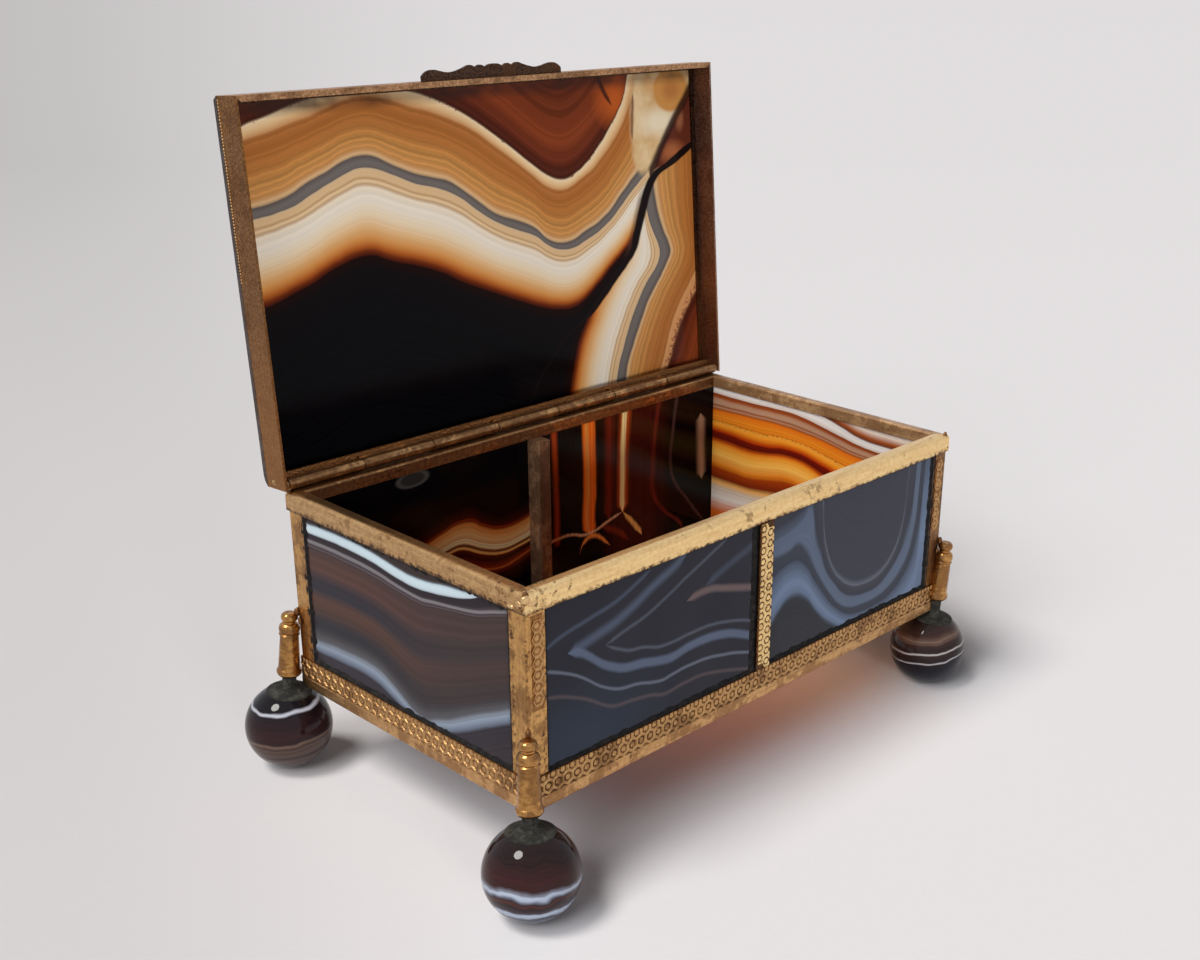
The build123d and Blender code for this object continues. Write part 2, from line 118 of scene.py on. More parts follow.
class Wiring:
    """Adds shader nodes to one material and hands back the socket that each one gives."""

    def __init__(self, name):
        self.material = bpy.data.materials.new(name)
        self.material.use_nodes = True
        self.tree = self.material.node_tree
        self.shader = self.tree.nodes["Principled BSDF"]

    def put(self, socket, value):
        if isinstance(value, bpy.types.NodeSocket):
            self.tree.links.new(value, socket)
        else:
            socket.default_value = value

    def add(self, kind, inputs=(), out=0, **settings):
        node = self.tree.nodes.new(kind)
        for name, value in settings.items():
            setattr(node, name, value)
        for key, value in dict(inputs).items():
            self.put(node.inputs[key], value)
        return node.outputs[out]

    def math(self, operation, a, b=0.0, c=0.0):
        return self.add("ShaderNodeMath", {0: a, 1: b, 2: c}, operation=operation)

    def plus(self, a, b):
        return self.math("ADD", a, b)

    def minus(self, a, b):
        return self.math("SUBTRACT", a, b)

    def times(self, *shares):
        """The product of two or more numbers, which is also how masks are combined."""
        total = shares[0]
        for share in shares[1:]:
            total = self.math("MULTIPLY", total, share)
        return total

    def apart(self, a, b):
        """How far two numbers are from each other, without a sign."""
        return self.math("ABSOLUTE", self.minus(a, b))

    def place(self, origin=(0, 0, 0)):
        """Millimetres from an origin."""
        where = self.add("ShaderNodeTexCoord", out=OBJECT_PLACE)
        return self.add("ShaderNodeMapping", {"Vector": where, "Location": -Vector(origin),
                                              "Scale": (1 / MM,) * 3})

    def split(self, vector):
        node = self.tree.nodes.new("ShaderNodeSeparateXYZ")
        self.put(node.inputs[0], vector)
        return node.outputs[0], node.outputs[1], node.outputs[2]

    def noise(self, vector, size, detail=2.0, rough=0.5, stretch=None):
        """Soft random values, 0 to 1, whose lumps are about size millimetres wide."""
        if stretch:
            vector = self.add("ShaderNodeMapping", {"Vector": vector, "Scale": stretch})
        return self.add("ShaderNodeTexNoise", {"Vector": vector, "Scale": 1.0 / size, "Detail": detail,
                                               "Roughness": rough})

    def streaks(self, w, size, detail=3.0, rough=0.6):
        """Random values along one direction only."""
        return self.add("ShaderNodeTexNoise", {"W": w, "Scale": 1.0 / size, "Detail": detail,
                                               "Roughness": rough}, noise_dimensions="1D")

    def fit(self, value, low, high, to_low=0.0, to_high=1.0, smooth=False):
        """Stretches low..high to to_low..to_high, and holds the ends."""
        kind = "SMOOTHSTEP" if smooth else "LINEAR"
        return self.add("ShaderNodeMapRange", {0: value, 1: low, 2: high, 3: to_low, 4: to_high},
                        interpolation_type=kind)

    def mix(self, share, a, b, blend="MIX"):
        return self.add("ShaderNodeMix", {0: share, COLOUR_A: a, COLOUR_B: b}, out=COLOUR_OUT,
                        data_type="RGBA", blend_type=blend)

    def ramp(self, value, stops, low=0.0, high=1.0):
        """Colours by value: stops are (value, colour)."""
        share = self.fit(value, low, high) if (low, high) != (0.0, 1.0) else value
        node = self.tree.nodes.new("ShaderNodeValToRGB")
        self.put(node.inputs[0], share)
        marks = node.color_ramp.elements
        while len(marks) < len(stops):
            marks.new(1.0)
        for mark, (where, colour) in zip(marks, stops):
            mark.position = (where - low) / (high - low)
            mark.color = colour
        return node.outputs[0]

    def curve(self, x, points, low, high):
        """A given curve: points are (x, y) in millimetres, low and high bound y."""
        left, right = points[0][0], points[-1][0]
        node = self.tree.nodes.new("ShaderNodeFloatCurve")
        line = node.mapping.curves[0]
        while len(line.points) < len(points):
            line.points.new(0.5, 0.5)
        for knot, (px, py) in zip(line.points, points):
            knot.location = ((px - left) / (right - left), (py - low) / (high - low))
        node.mapping.update()
        self.put(node.inputs["Value"], self.fit(x, left, right))
        return self.math("MULTIPLY_ADD", node.outputs[0], high - low, low)

    def finish(self, colour, roughness, metallic, bump, depth, specular=0.5):
        """Joins colour, roughness and bump to the shader. Depth is in millimetres."""
        self.put(self.shader.inputs["Base Color"], colour)
        self.put(self.shader.inputs["Roughness"], roughness)
        self.put(self.shader.inputs["Metallic"], metallic)
        self.shader.inputs["Specular IOR Level"].default_value = specular
        self.put(self.shader.inputs["Normal"],
                 self.add("ShaderNodeBump", {"Height": bump, "Distance": depth * MM, "Strength": 1.0}))
        return self.material

    def let_through(self, colour, share):
        """Lets a share of the light through the stone, tinted, without changing its surface."""
        through = self.add("ShaderNodeBsdfTranslucent", {"Color": colour})
        both = self.add("ShaderNodeMixShader", {0: share, 1: self.shader.outputs[0], 2: through})
        self.put(self.tree.nodes["Material Output"].inputs["Surface"], both)


print("wiring helpers ready")

# %% [markdown]
# The CAD model's nodes are found by the start of their names, measured in millimetres, and given a finish by
# filling their material slots. Their meshes stay as they are.


# %% Reaching the CAD nodes
def wear(node, material):
    """Gives a CAD node a finish."""
    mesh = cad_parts[node].data
    for slot in range(max(1, len(mesh.materials))):
        if len(mesh.materials) <= slot:
            mesh.materials.append(material)
        mesh.materials[slot] = material


def node_names(*starts):
    """The CAD nodes whose names start with any of these words."""
    return [n for n in sorted(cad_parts) if n.startswith(starts)]


def corners_of(node):
    """The lowest and the highest corner of a CAD node, in millimetres."""
    low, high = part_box(node)
    return Vector(low) / MM, Vector(high) / MM


print("stone plates:", node_names("stone_"))

# %% [markdown]
# ## Floor and light
# The box stood on pale paper by a window. The bright spot on each ball tells where the window was: half way
# between the line to the camera and the line to the window the ball faces us. That puts it high on the left.
# The room fills the shadows, and the paper is painted a little greyer on the left and further away, a painted
# shade for the side away from the lamp of the room.

# %% Studio
PAPER_LEFT, PAPER_LEFT_NEAR = tone(195, 193, 195), tone(214, 212, 214)
PAPER_RIGHT = tone(229, 227, 230)
PAPER_FADE = (200.0, 1100.0)
PAPER_TURN = (-0.5, -0.05)
NEAREST = 60.0
FIBRE = 1.4
FLOOR_REACH = 8.0
WINDOW_WAY = Vector((-0.47, 0.14, 0.855)).normalized()
WINDOW_ANGLE = math.radians(19.0)
WINDOW_POWER = 1.95
WINDOW_TONE = (1.0, 0.97, 0.92)
LEFT_WAY = Vector((-0.77, -0.15, 0.62)).normalized()
LEFT_ANGLE = math.radians(34.0)
LEFT_POWER = 1.75
FRONT_PLACE = Vector((-1.0, -2.5, 0.3))
FRONT_SIZE = 0.6
FRONT_WATTS = 36.0
ROOM_TONE = (0.93, 0.93, 1.0, 1.0)
ROOM_STRENGTH = 0.07
ROOM_SHINE = 0.74

right_way, _, forward_way = eye_axes(YAW, 0.0, 0.0)
paper = Wiring("paper")
place = paper.place(EYE / MM)
aside = paper.add("ShaderNodeVectorMath", {0: place, 1: right_way}, out=1, operation="DOT_PRODUCT")
ahead = paper.add("ShaderNodeVectorMath", {0: place, 1: forward_way}, out=1, operation="DOT_PRODUCT")
bearing = paper.math("DIVIDE", aside, paper.math("MAXIMUM", ahead, NEAREST))
fibre = paper.noise(place, FIBRE, detail=4.0)
# Painted shade on the paper: greyer on the left and further away, paler to the right.
painted_left_shade = paper.mix(paper.fit(ahead, *PAPER_FADE), PAPER_LEFT_NEAR, PAPER_LEFT)
shade = paper.mix(paper.fit(bearing, *PAPER_TURN, smooth=True), painted_left_shade, PAPER_RIGHT)
paper.finish(shade, 0.9, 0.0, fibre, 0.03, specular=0.1)
floor_mesh = bpy.data.meshes.new("paper_floor")
corners = [(-FLOOR_REACH, -FLOOR_REACH), (FLOOR_REACH, -FLOOR_REACH), (FLOOR_REACH, FLOOR_REACH),
           (-FLOOR_REACH, FLOOR_REACH)]
floor_mesh.from_pydata([(x, y, 0.0) for x, y in corners], [], [(0, 1, 2, 3)])
floor_mesh.materials.append(paper.material)
floor = bpy.data.objects.new("paper_floor", floor_mesh)
scene.collection.objects.link(floor)

world = bpy.data.worlds.new("room")
scene.world = world
world.use_nodes = True
room = world.node_tree
sky = room.nodes["Background"]
sky.inputs["Color"].default_value = ROOM_TONE
path = room.nodes.new("ShaderNodeLightPath")
seen = room.nodes.new("ShaderNodeMath")
seen.operation = "MAXIMUM"
room.links.new(path.outputs["Is Camera Ray"], seen.inputs[0])
room.links.new(path.outputs["Is Glossy Ray"], seen.inputs[1])
power = room.nodes.new("ShaderNodeMix")
power.inputs["A"].default_value = ROOM_STRENGTH
power.inputs["B"].default_value = ROOM_SHINE
room.links.new(seen.outputs[0], power.inputs["Factor"])
room.links.new(power.outputs[0], sky.inputs["Strength"])


def lamp(name, kind, way, place=(0, 0, 0), **settings):
    """A lamp that stands at a place and shines against the direction way."""
    light = bpy.data.lights.new(name, kind)
    for key, value in settings.items():
        setattr(light, key, value)
    holder = bpy.data.objects.new(name, light)
    scene.collection.objects.link(holder)
    holder.matrix_world = Matrix.Translation(place) @ Vector(way).to_track_quat("Z", "Y").to_matrix().to_4x4()
    return holder


lamp("window", "SUN", WINDOW_WAY, energy=WINDOW_POWER, angle=WINDOW_ANGLE, color=WINDOW_TONE)
soft_lamps = [lamp("room_left", "SUN", LEFT_WAY, energy=LEFT_POWER, angle=LEFT_ANGLE),
              lamp("room_front", "AREA", FRONT_PLACE, FRONT_PLACE, energy=FRONT_WATTS, size=FRONT_SIZE)]
for soft_lamp in soft_lamps:
    soft_lamp.visible_glossy = False
print("lamps:", 1 + len(soft_lamps))

# %% [markdown]
# ## Worn gilt brass
# Gilding is metal, so its colour is the colour of its reflection. Age adds three things: faint lengthwise
# streaks from drawing the strip, a brown film in patches, and dark spots where solder and edges collect dirt.
# Each is one layer of noise mixed over the last, and the same layers drive the roughness. More dirt sits
# round the near corner, so that corner is a place in the material too.

# %% Brass finishes
PALE_GOLD = tone(242, 206, 152)
GOLD = tone(214, 172, 116)
OLD_GOLD = tone(176, 130, 82)
BROWN_FILM = tone(118, 82, 52)
GRIME = tone(50, 34, 24)
RUST = tone(132, 88, 50)
TARNISH = tone(96, 70, 52)
STREAK, MOTTLE, PATCH, FLECK = 0.5, 0.9, 5.0, 1.3
HALF_LONG, HALF_DEEP = 60.0, 34.2
NEAR_CORNER = (-60.0, -34.2, 58.0)
CORNER_REACH = (16.0, 4.0)
FOLD_FROM, FOLD_TO = (36.0, 42.0), (51.0, 46.0)
FOLD_REACH, LEG_EDGE = (1.6, 0.2), (3.4, 4.2)


def extra_dirt(w, p, corner, legs):
    """More dirt round the near corner, and on a post along its fold and its free edge."""
    x, y, z = p[1:]
    gap = w.add("ShaderNodeVectorMath", {0: p[0], 1: NEAR_CORNER}, out=1, operation="DISTANCE")
    near = w.times(w.fit(gap, *CORNER_REACH), 0.13 * corner)
    if legs:
        fold = w.plus(w.minus(HALF_LONG, w.math("ABSOLUTE", x)), w.minus(HALF_DEEP, w.math("ABSOLUTE", y)))
        worst = w.times(w.fit(z, *FOLD_FROM), w.fit(z, *FOLD_TO))
        near = w.plus(w.times(w.fit(fold, *FOLD_REACH), w.fit(worst, 0.0, 1.0, 0.1, 0.26)), near)
        near = w.plus(w.times(w.fit(fold, *LEG_EDGE), 0.1), near)
    return near


def brass(name, light=PALE_GOLD, body=GOLD, film=BROWN_FILM, filmed=0.5, grime=0.35, along=(1, 1, 1),
          low_edge=None, corner=0.0, legs=False, rough=(0.32, 0.6), bump_depth=0.07, metal=1.0):
    """Gilt brass. along squeezes the streaks, low_edge is (height, depth) of a dark ragged band along the
    lower edge in mm.
    """
    w = Wiring(name)
    p = w.place()
    x, y, z = w.split(p)
    streak = w.noise(p, STREAK, detail=4.0, rough=0.6, stretch=along)
    mottle = w.noise(p, MOTTLE, detail=6.0, rough=0.75)
    patch = w.noise(p, PATCH, detail=7.0, rough=0.7)
    fleck = w.noise(p, FLECK, detail=6.0, rough=0.72)
    worn = w.plus(w.times(streak, 0.4), w.times(mottle, 0.6))
    colour = w.mix(w.fit(worn, 0.4, 0.6), body, light)
    film_share = w.times(w.fit(patch, 0.63 - 0.3 * filmed, 0.7 - 0.3 * filmed, smooth=True), 0.6)
    colour = w.mix(film_share, colour, film)
    dirt = w.plus(fleck, extra_dirt(w, (p, x, y, z), corner, legs))
    spots = w.fit(dirt, 0.73 - 0.2 * grime, 0.77 - 0.2 * grime)
    halo = w.fit(dirt, 0.66 - 0.2 * grime, 0.73 - 0.2 * grime)
    # A dark ragged band along the lower edge, darker towards the bottom.
    if low_edge:
        height, depth = low_edge
        level = w.plus(z, w.fit(fleck, 0.38, 0.62, -depth, depth))
        spots = w.math("MAXIMUM", spots, w.fit(level, height + 0.15, height - 0.2))
        halo = w.math("MAXIMUM", halo, w.fit(level, height + 0.6, height + 0.1))
    colour = w.mix(w.times(halo, 0.65), colour, RUST)
    colour = w.mix(w.times(spots, 0.85), colour, GRIME)
    roughness = w.fit(w.plus(w.times(film_share, 0.7), spots), 0.0, 1.0, *rough)
    relief = w.plus(w.times(streak, 0.2), w.times(mottle, 0.8))
    relief = w.minus(relief, w.times(spots, 0.4))
    return w.finish(colour, roughness, w.fit(spots, 0.0, 1.0, metal, 0.6 * metal), relief, bump_depth)


print("brass recipe ready")

# %% [markdown]
# One recipe now gives every brass part its own finish. The front rim is brightest, partly rubbed bright by
# hands and partly a painted sheen for the bright room its top reflects. The back and the right are browner,
# and the right rim and the right front post are also darker, a painted shade for the right side, turned away
# from the light. The streaks run along each strip, so each strip says which way it runs.

# %% Brass on the casket
SIDEWAYS, LENGTHWISE, UPWARD, LONG_STREAKS = (1, 0.06, 1), (0.06, 1, 1), (1, 1, 0.1), (0.02, 0.8, 0.8)
rim_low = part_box("rim_front")[0][2] / MM
rims = {
    # The front rim's pale tones are partly worn gilding and partly a painted sheen for the bright room its
    # top reflects.
    "rim_front": dict(light=tone(255, 224, 162), body=tone(236, 194, 132), filmed=0.2, grime=0.04,
                      along=LENGTHWISE, low_edge=(rim_low, 0.5), corner=1.1),
    "rim_left": dict(light=tone(218, 178, 124), body=tone(180, 138, 92), filmed=0.25, grime=0.2,
                     along=SIDEWAYS, low_edge=(rim_low + 0.3, 0.6), corner=1.0),
    # The right rim is darker and less metallic: painted shade for the right end, turned away from the light.
    "rim_right": dict(light=tone(196, 158, 114), body=tone(148, 112, 78), filmed=0.6, along=SIDEWAYS,
                      metal=0.35),
    "rim_back": dict(light=tone(206, 158, 102), body=TARNISH, filmed=0.7, along=LONG_STREAKS)}
for name, look in rims.items():
    wear(name, brass("gilt_" + name, **look))
for name in node_names("rail_"):
    runs = SIDEWAYS if name in ("rail_left", "rail_right") else LENGTHWISE
    wear(name, brass("gilt_" + name, light=tone(218, 174, 118), body=tone(180, 134, 86), filmed=0.48,
                     film=tone(136, 94, 60), along=runs))
ground = brass("stamped_ground", light=tone(122, 84, 48), body=tone(90, 60, 36), film=tone(64, 42, 26),
               filmed=0.6)
left_ground = brass("left_ground", light=tone(170, 124, 74), body=tone(130, 92, 54), filmed=0.5)
post_ground = brass("post_ground", light=tone(168, 120, 70), body=tone(122, 84, 50), filmed=0.4)
strip = brass("stamped_strip", light=tone(204, 162, 108), body=tone(180, 136, 87), filmed=0.4, grime=0.3)
bright_strip = brass("stamped_mullion", light=tone(255, 226, 160), body=tone(226, 184, 124), filmed=0.2,
                     grime=0.3)
posts = brass("gilt_posts", light=tone(220, 172, 104), body=OLD_GOLD, filmed=0.5, along=UPWARD, legs=True)
# A darker copy of the posts for the right front post: painted shade, seen at a grazing angle on the side away
# from the light.
shaded_right_post = brass("gilt_right_post_shaded", light=tone(158, 118, 78), body=tone(116, 84, 56), filmed=0.6,
                   along=UPWARD, legs=True)
turned = brass("turned_brass", light=tone(206, 156, 92), body=tone(150, 104, 58), filmed=0.55,
               along=(0.2, 0.2, 4), rough=(0.22, 0.45), bump_depth=0.03)
hinge_brass = brass("hinge_brass", light=tone(216, 168, 110), body=TARNISH, filmed=0.7, grime=0.4,
                    along=LONG_STREAKS)
bar_brass = brass("bar_brass", light=tone(156, 118, 88), body=tone(102, 74, 55), filmed=0.6,
                  film=tone(74, 50, 38), along=UPWARD, metal=0.4)
finishes = {"post_": posts, "gallery_": ground, "mullion_strip": ground, "mullion_core": bar_brass,
            "colonette_": turned, "peg_": turned, "hinge_": hinge_brass, "gallery_left": left_ground,
            "post_front_right": shaded_right_post}
for start, finish in finishes.items():
    for name in node_names(start):
        wear(name, finish)
print("brass on", len(node_names("rim_", "rail_", *finishes)), "nodes")

# %% [markdown]
# The lid's frame is darker and pebbled, with a dark bevel above the shoulder. Its finish is placed in the
# lid's own coordinates: the lid stands open here, so the material turns the place back to where it is shut.

# %% Lid brass
OPEN_ANGLE = math.radians(94.0)
HINGE = Vector((0.0, 33.8, 59.6))
LID_BASE = 58.5
SHOULDER = 6.2
PEBBLE_SIZE = 0.5
CLEAN_SIDE = (0.0, 22.0)


def shut_place(w):
    """Millimetres as they are when the lid is shut."""
    turn = Matrix.Rotation(OPEN_ANGLE, 3, "X")
    where = w.add("ShaderNodeTexCoord", out=OBJECT_PLACE)
    return w.add("ShaderNodeMapping", {"Vector": where, "Location": HINGE - turn @ HINGE,
                                       "Rotation": (OPEN_ANGLE, 0, 0), "Scale": (1 / MM,) * 3})


def lid_finish(name, light, body, bevel):
    """Pebbled brass: light on the pebbles, body between them, bevel above the shoulder."""
    w = Wiring(name)
    p = shut_place(w)
    x, y, z = w.split(p)
    pebbles = w.add("ShaderNodeTexVoronoi", {"Vector": p, "Scale": 1 / PEBBLE_SIZE})
    patch = w.noise(p, PATCH, detail=6.0, rough=0.65)
    fleck = w.noise(p, 1.1, detail=5.0, rough=0.7)
    colour = w.mix(w.fit(pebbles, 0.15, 0.75), light, body)
    colour = w.mix(w.fit(patch, 0.48, 0.62, 0.0, 0.55), colour, tone(104, 70, 44))
    clean = w.times(w.fit(y, *CLEAN_SIDE), 0.5)
    colour = w.mix(clean, colour, tone(168, 116, 68))
    edge = w.math("MULTIPLY_ADD", fleck, 0.6, LID_BASE + SHOULDER - 0.45)
    colour = w.mix(w.fit(w.minus(z, edge), -0.15, 0.15), colour, bevel)
    spots = w.fit(fleck, 0.63, 0.68)
    colour = w.mix(w.times(spots, 0.7), colour, GRIME)
    relief = w.minus(w.times(w.fit(pebbles, 0.0, 0.7, 1.0, 0.0, smooth=True), 0.8), w.times(spots, 0.4))
    return w.finish(colour, w.fit(patch, 0.3, 0.7, 0.4, 0.6), w.fit(spots, 0.0, 1.0, 1.0, 0.35), relief, 0.12)


lid_brass = lid_finish("lid_brass", tone(158, 112, 66), tone(116, 80, 48), tone(62, 42, 30))
# A lighter copy for the lid's front wall: painted light, as that wall faces up into the window while the lid
# stands open.
lit_front_lid = lid_finish("lid_dull_brass", tone(208, 162, 118), tone(160, 120, 84), tone(62, 42, 30))
dark_lid = lid_finish("lid_dark_brass", tone(96, 72, 56), tone(58, 42, 34), tone(50, 36, 30))
# A paler, greyer copy for the lid's right wall: painted light for its inner face, which sits in shade and
# shows the room's reflection.
shaded_side_lid = lid_finish("lid_side_shaded_brass", tone(168, 134, 116), tone(124, 98, 86), tone(80, 60, 50))
for name in node_names("lid_wall"):
    wear(name, {"lid_wall_front": lit_front_lid, "lid_wall_right": shaded_side_lid}.get(name, lid_brass))
for name in node_names("lid_bead", "thumbpiece"):
    wear(name, dark_lid)
print("lid brass on", len(node_names("lid_wall", "lid_bead", "thumbpiece")), "nodes")

# %% [markdown]
# ## Agate as a stack of curves
# Agate grew in layers, and a sawn plate shows them as bands that run side by side. So each plate has a few
# listed curves for the bands that catch the eye. Between two neighbours a value runs evenly from one
# whole number to the next, and a colour ramp turns that value into stone. Noise that varies only with the
# value adds the fine layers in between, which then follow every bend for nothing.

# %% Stone helpers
BEYOND = 10.0
THIN = 0.05
TAPER = 1.8
ELSEWHERE = (31.0, 17.0, 7.0)


def stack(w, along, across, curves, low, high):
    """0 at the first curve, 1 at the second and so on; past the ends it runs on, one per BEYOND mm."""
    heights = [w.curve(along, points, low, high) for points in curves]
    value = w.times(w.math("MINIMUM", w.minus(heights[0], across), 0.0), 1 / BEYOND)
    for upper, lower in zip(heights, heights[1:]):
        lower = w.math("MINIMUM", lower, w.minus(upper, THIN))
        value = w.plus(value, w.fit(across, upper, lower))
    past = w.math("MAXIMUM", w.minus(heights[-1], across), 0.0)
    return w.math("MULTIPLY_ADD", past, 1 / BEYOND, value)


def vein(w, colour, along, across, points, half, soft, vein_colour, strength=1.0, low=-80.0, high=80.0):
    """Paints one band along a given curve over a colour, pointed at both ends."""
    height = w.curve(along, points, low, high)
    off = w.apart(across, height)
    first, last = points[0][0], points[-1][0]
    taper = w.math("MINIMUM", w.fit(along, first, first + TAPER), w.fit(along, last, last - TAPER))
    off = w.math("DIVIDE", off, w.math("MAXIMUM", taper, 0.05))
    share = w.fit(off, half + soft, max(half - soft, 0.0), smooth=True)
    share = w.times(share, w.math("GREATER_THAN", taper, 0.01))
    return w.mix(w.times(share, strength), colour, vein_colour)


def layers(w, colour, value, size, amount):
    """Darkens and lightens a colour by fine layers that follow value."""
    fine = w.fit(w.streaks(value, size), 0.3, 0.7, 1.0 - amount, 1.0 + amount)
    grey = w.add("ShaderNodeCombineColor", {0: fine, 1: fine, 2: fine})
    return w.mix(1.0, colour, grey, blend="MULTIPLY")


def wobble(w, p, amount=0.35, size=9.0):
    """Millimetre coordinates with a slight waviness, so that no band looks ruled."""
    x, y, z = w.split(p)
    dx = w.math("MULTIPLY_ADD", w.noise(p, size, detail=3.0), 2 * amount, -amount)
    shifted = w.add("ShaderNodeVectorMath", {0: p, 1: ELSEWHERE}, operation="ADD")
    dz = w.math("MULTIPLY_ADD", w.noise(shifted, size, detail=3.0), 2 * amount, -amount)
    return w.plus(x, dx), w.plus(y, dx), w.plus(z, dz)


def length(w, dx, dy):
    """The length of a line from its two sides."""
    return w.math("SQRT", w.plus(w.times(dx, dx), w.times(dy, dy)))


def reach(w, x, y, centre, wide, high):
    """Distance from a point, where 1 is an ellipse around it."""
    dx = w.math("DIVIDE", w.minus(x, centre[0]), wide)
    dy = w.math("DIVIDE", w.minus(y, centre[1]), high)
    return length(w, dx, dy)


def polish(w, colour, p, bump_depth=0.004, shine=0.12):
    """The finish of cut and polished stone."""
    scratches = w.noise(p, 0.4, detail=5.0, rough=0.7)
    smear = w.noise(p, 6.0, detail=3.0)
    return w.finish(colour, w.fit(smear, 0.3, 0.7, 0.07, 0.15), 0.0, scratches, bump_depth, specular=shine)


print("stone helpers ready")

# %% [markdown]
# ## The lid's slab
# Daylight comes through the slab from behind, so its amber, white and cream are partly the stone's own
# colours and partly painted light, as they look with that light coming through.
# The slab is the picture of the whole box: black core, amber edge, white, a grey ribbon, tan layers, and a
# dark brown wedge at the front. A healed crack divides it, and right of the crack the same layers climb.
# The pattern is placed in the lid's own coordinates, as it lies when shut: x along the hinge, y to the back.
# First come the edges between the layers, left of the crack and then right of it.

# %% Edges between the lid's layers
LID_CORE = [(-60, 1.7), (-58, 1.4), (-50, -0.6), (-45, -2.2), (-40, -4.2), (-35, -5.2), (-32, -5.2),
            (-28, -3.6), (-20, -1.2), (-15, 0.8), (-10, 3.4), (-5, 5.5), (0, 7.6), (5, 9.6), (10, 11.6),
            (15, 12.9), (20, 13.1), (23, 12.0), (27, 9.5), (31, 6.6), (36, 3.0), (40, 0.0), (46, -5),
            (60, -12)]
GREY_TOP = [(-60, -14.6), (-50, -15.8), (-45, -17.5), (-40, -19.5), (-36, -21), (-33, -21.7), (-30, -21.4),
            (-25, -19.5), (-20, -17.5), (-15, -16.2), (-10, -14), (-5, -10.5), (0, -7.5), (5, -5.5),
            (10, -3.5), (13, -1.4), (16, 0), (20, 0.3), (25, -1), (30, -3.2), (35, -6.5), (40, -10.5),
            (44, -13.2), (60, -24)]
GREY_LOW = [(-60, -16.6), (-50, -18), (-45, -20), (-40, -21.8), (-36, -23.5), (-33, -24), (-30, -23.7),
            (-25, -21.4), (-20, -19.4), (-15, -18.1), (-12, -17.2), (-10, -16), (-5, -12.5), (0, -9.2),
            (5, -7.5), (10, -5.2), (13, -2.7), (16, -1.4), (19, -1.2), (25, -3), (30, -5.2), (35, -8.8),
            (40, -13), (60, -27)]
WEDGE_RIM = [(-60, -28), (-50, -30), (-45, -31.2), (-40, -32.7), (-35, -34), (-30, -34.5), (-25, -33.6),
             (-20, -32), (-15, -30.6), (-10, -28.8), (-5, -26.5), (0, -23.2), (5, -19.8), (10, -16.2),
             (14, -13.4), (18, -12.2), (20, -12.4), (25, -14.4), (30, -17.4), (34, -20.8), (37, -24.2),
             (39.5, -28), (42, -34), (60, -60)]
WEDGE = [(-60, -30.5), (-50, -33), (-45, -34.4), (-40, -35.6), (-32, -37), (-25, -36), (-20, -35),
         (-15, -33.5), (-10, -31.4), (-5, -28.8), (0, -25.6), (5, -22.2), (10, -18.6), (15, -15.5),
         (18, -14.6), (20, -14.6), (23, -15.6), (25, -16.8), (30, -20.7), (33, -23.7), (36, -27.2),
         (38, -30.2), (40, -36), (60, -60)]
CRACK = [(-40, 75), (-22, 66), (-18, 58), (-15, 52), (-13, 47.2), (-11, 45.2), (-6, 42.6), (0, 40.2),
         (3.5, 38.6), (6.5, 35.2), (10, 30.8), (15, 25), (20, 16), (40, 0)]
CRACK_HALF = [(-40, 0.5), (-19, 1.6), (-15, 2.0), (-12, 1.4), (-6, 1.3), (0, 1.25), (3.5, 1.1), (8, 1.5),
              (15, 1.2), (18, 0.4), (40, 0.3)]
RISE_CORE = [(-40, 40), (-11, 41), (0, 36), (5, 32), (10, 27.5), (13, 25.2), (17, 23), (20, 21), (25, 19),
             (30, 17.5), (40, 16)]
RISE_GREY = [(-40, 43.5), (-11, 43.6), (-5, 43.7), (0, 45.5), (3, 47), (5, 47.4), (7, 46.6), (10, 43.6),
             (15, 39.6), (20, 36.6), (25, 34), (30, 32), (40, 30)]
RISE_TAN = [(-40, 46), (-11, 46.2), (-5, 47.2), (0, 48.9), (3, 50.5), (5, 50.9), (7, 49.9), (10, 47.4),
            (15, 43.1), (20, 39.9), (25, 37.1), (30, 34.9), (40, 32.9)]
RISE_RIM = [(-40, 62), (0, 61), (8, 60.5), (13, 57), (17, 53.5), (20, 51.5), (25, 49), (30, 47), (40, 40)]
RISE_WEDGE = [(-40, 64), (0, 63), (10, 62), (14, 60), (16, 58), (19, 55.5), (22, 53), (26, 51), (30, 49),
              (40, 42)]
LEFT_EDGES = [LID_CORE, GREY_TOP, GREY_LOW, WEDGE_RIM, WEDGE]
RIGHT_EDGES = [RISE_CORE, RISE_GREY, RISE_TAN, RISE_RIM, RISE_WEDGE]
print("edges left and right of the crack:", len(LEFT_EDGES), len(RIGHT_EDGES))

# %% [markdown]
# The same tones paint both sides: below 0 the black core, 0 to 1 amber to white, 1 to 2 the grey ribbon, 2 to
# 3 the tan layers, 3 to 4 the cream rim, and past 4 the brown wedge. The wedge goes on in a second ramp,
# because one ramp holds at most 32 stops.

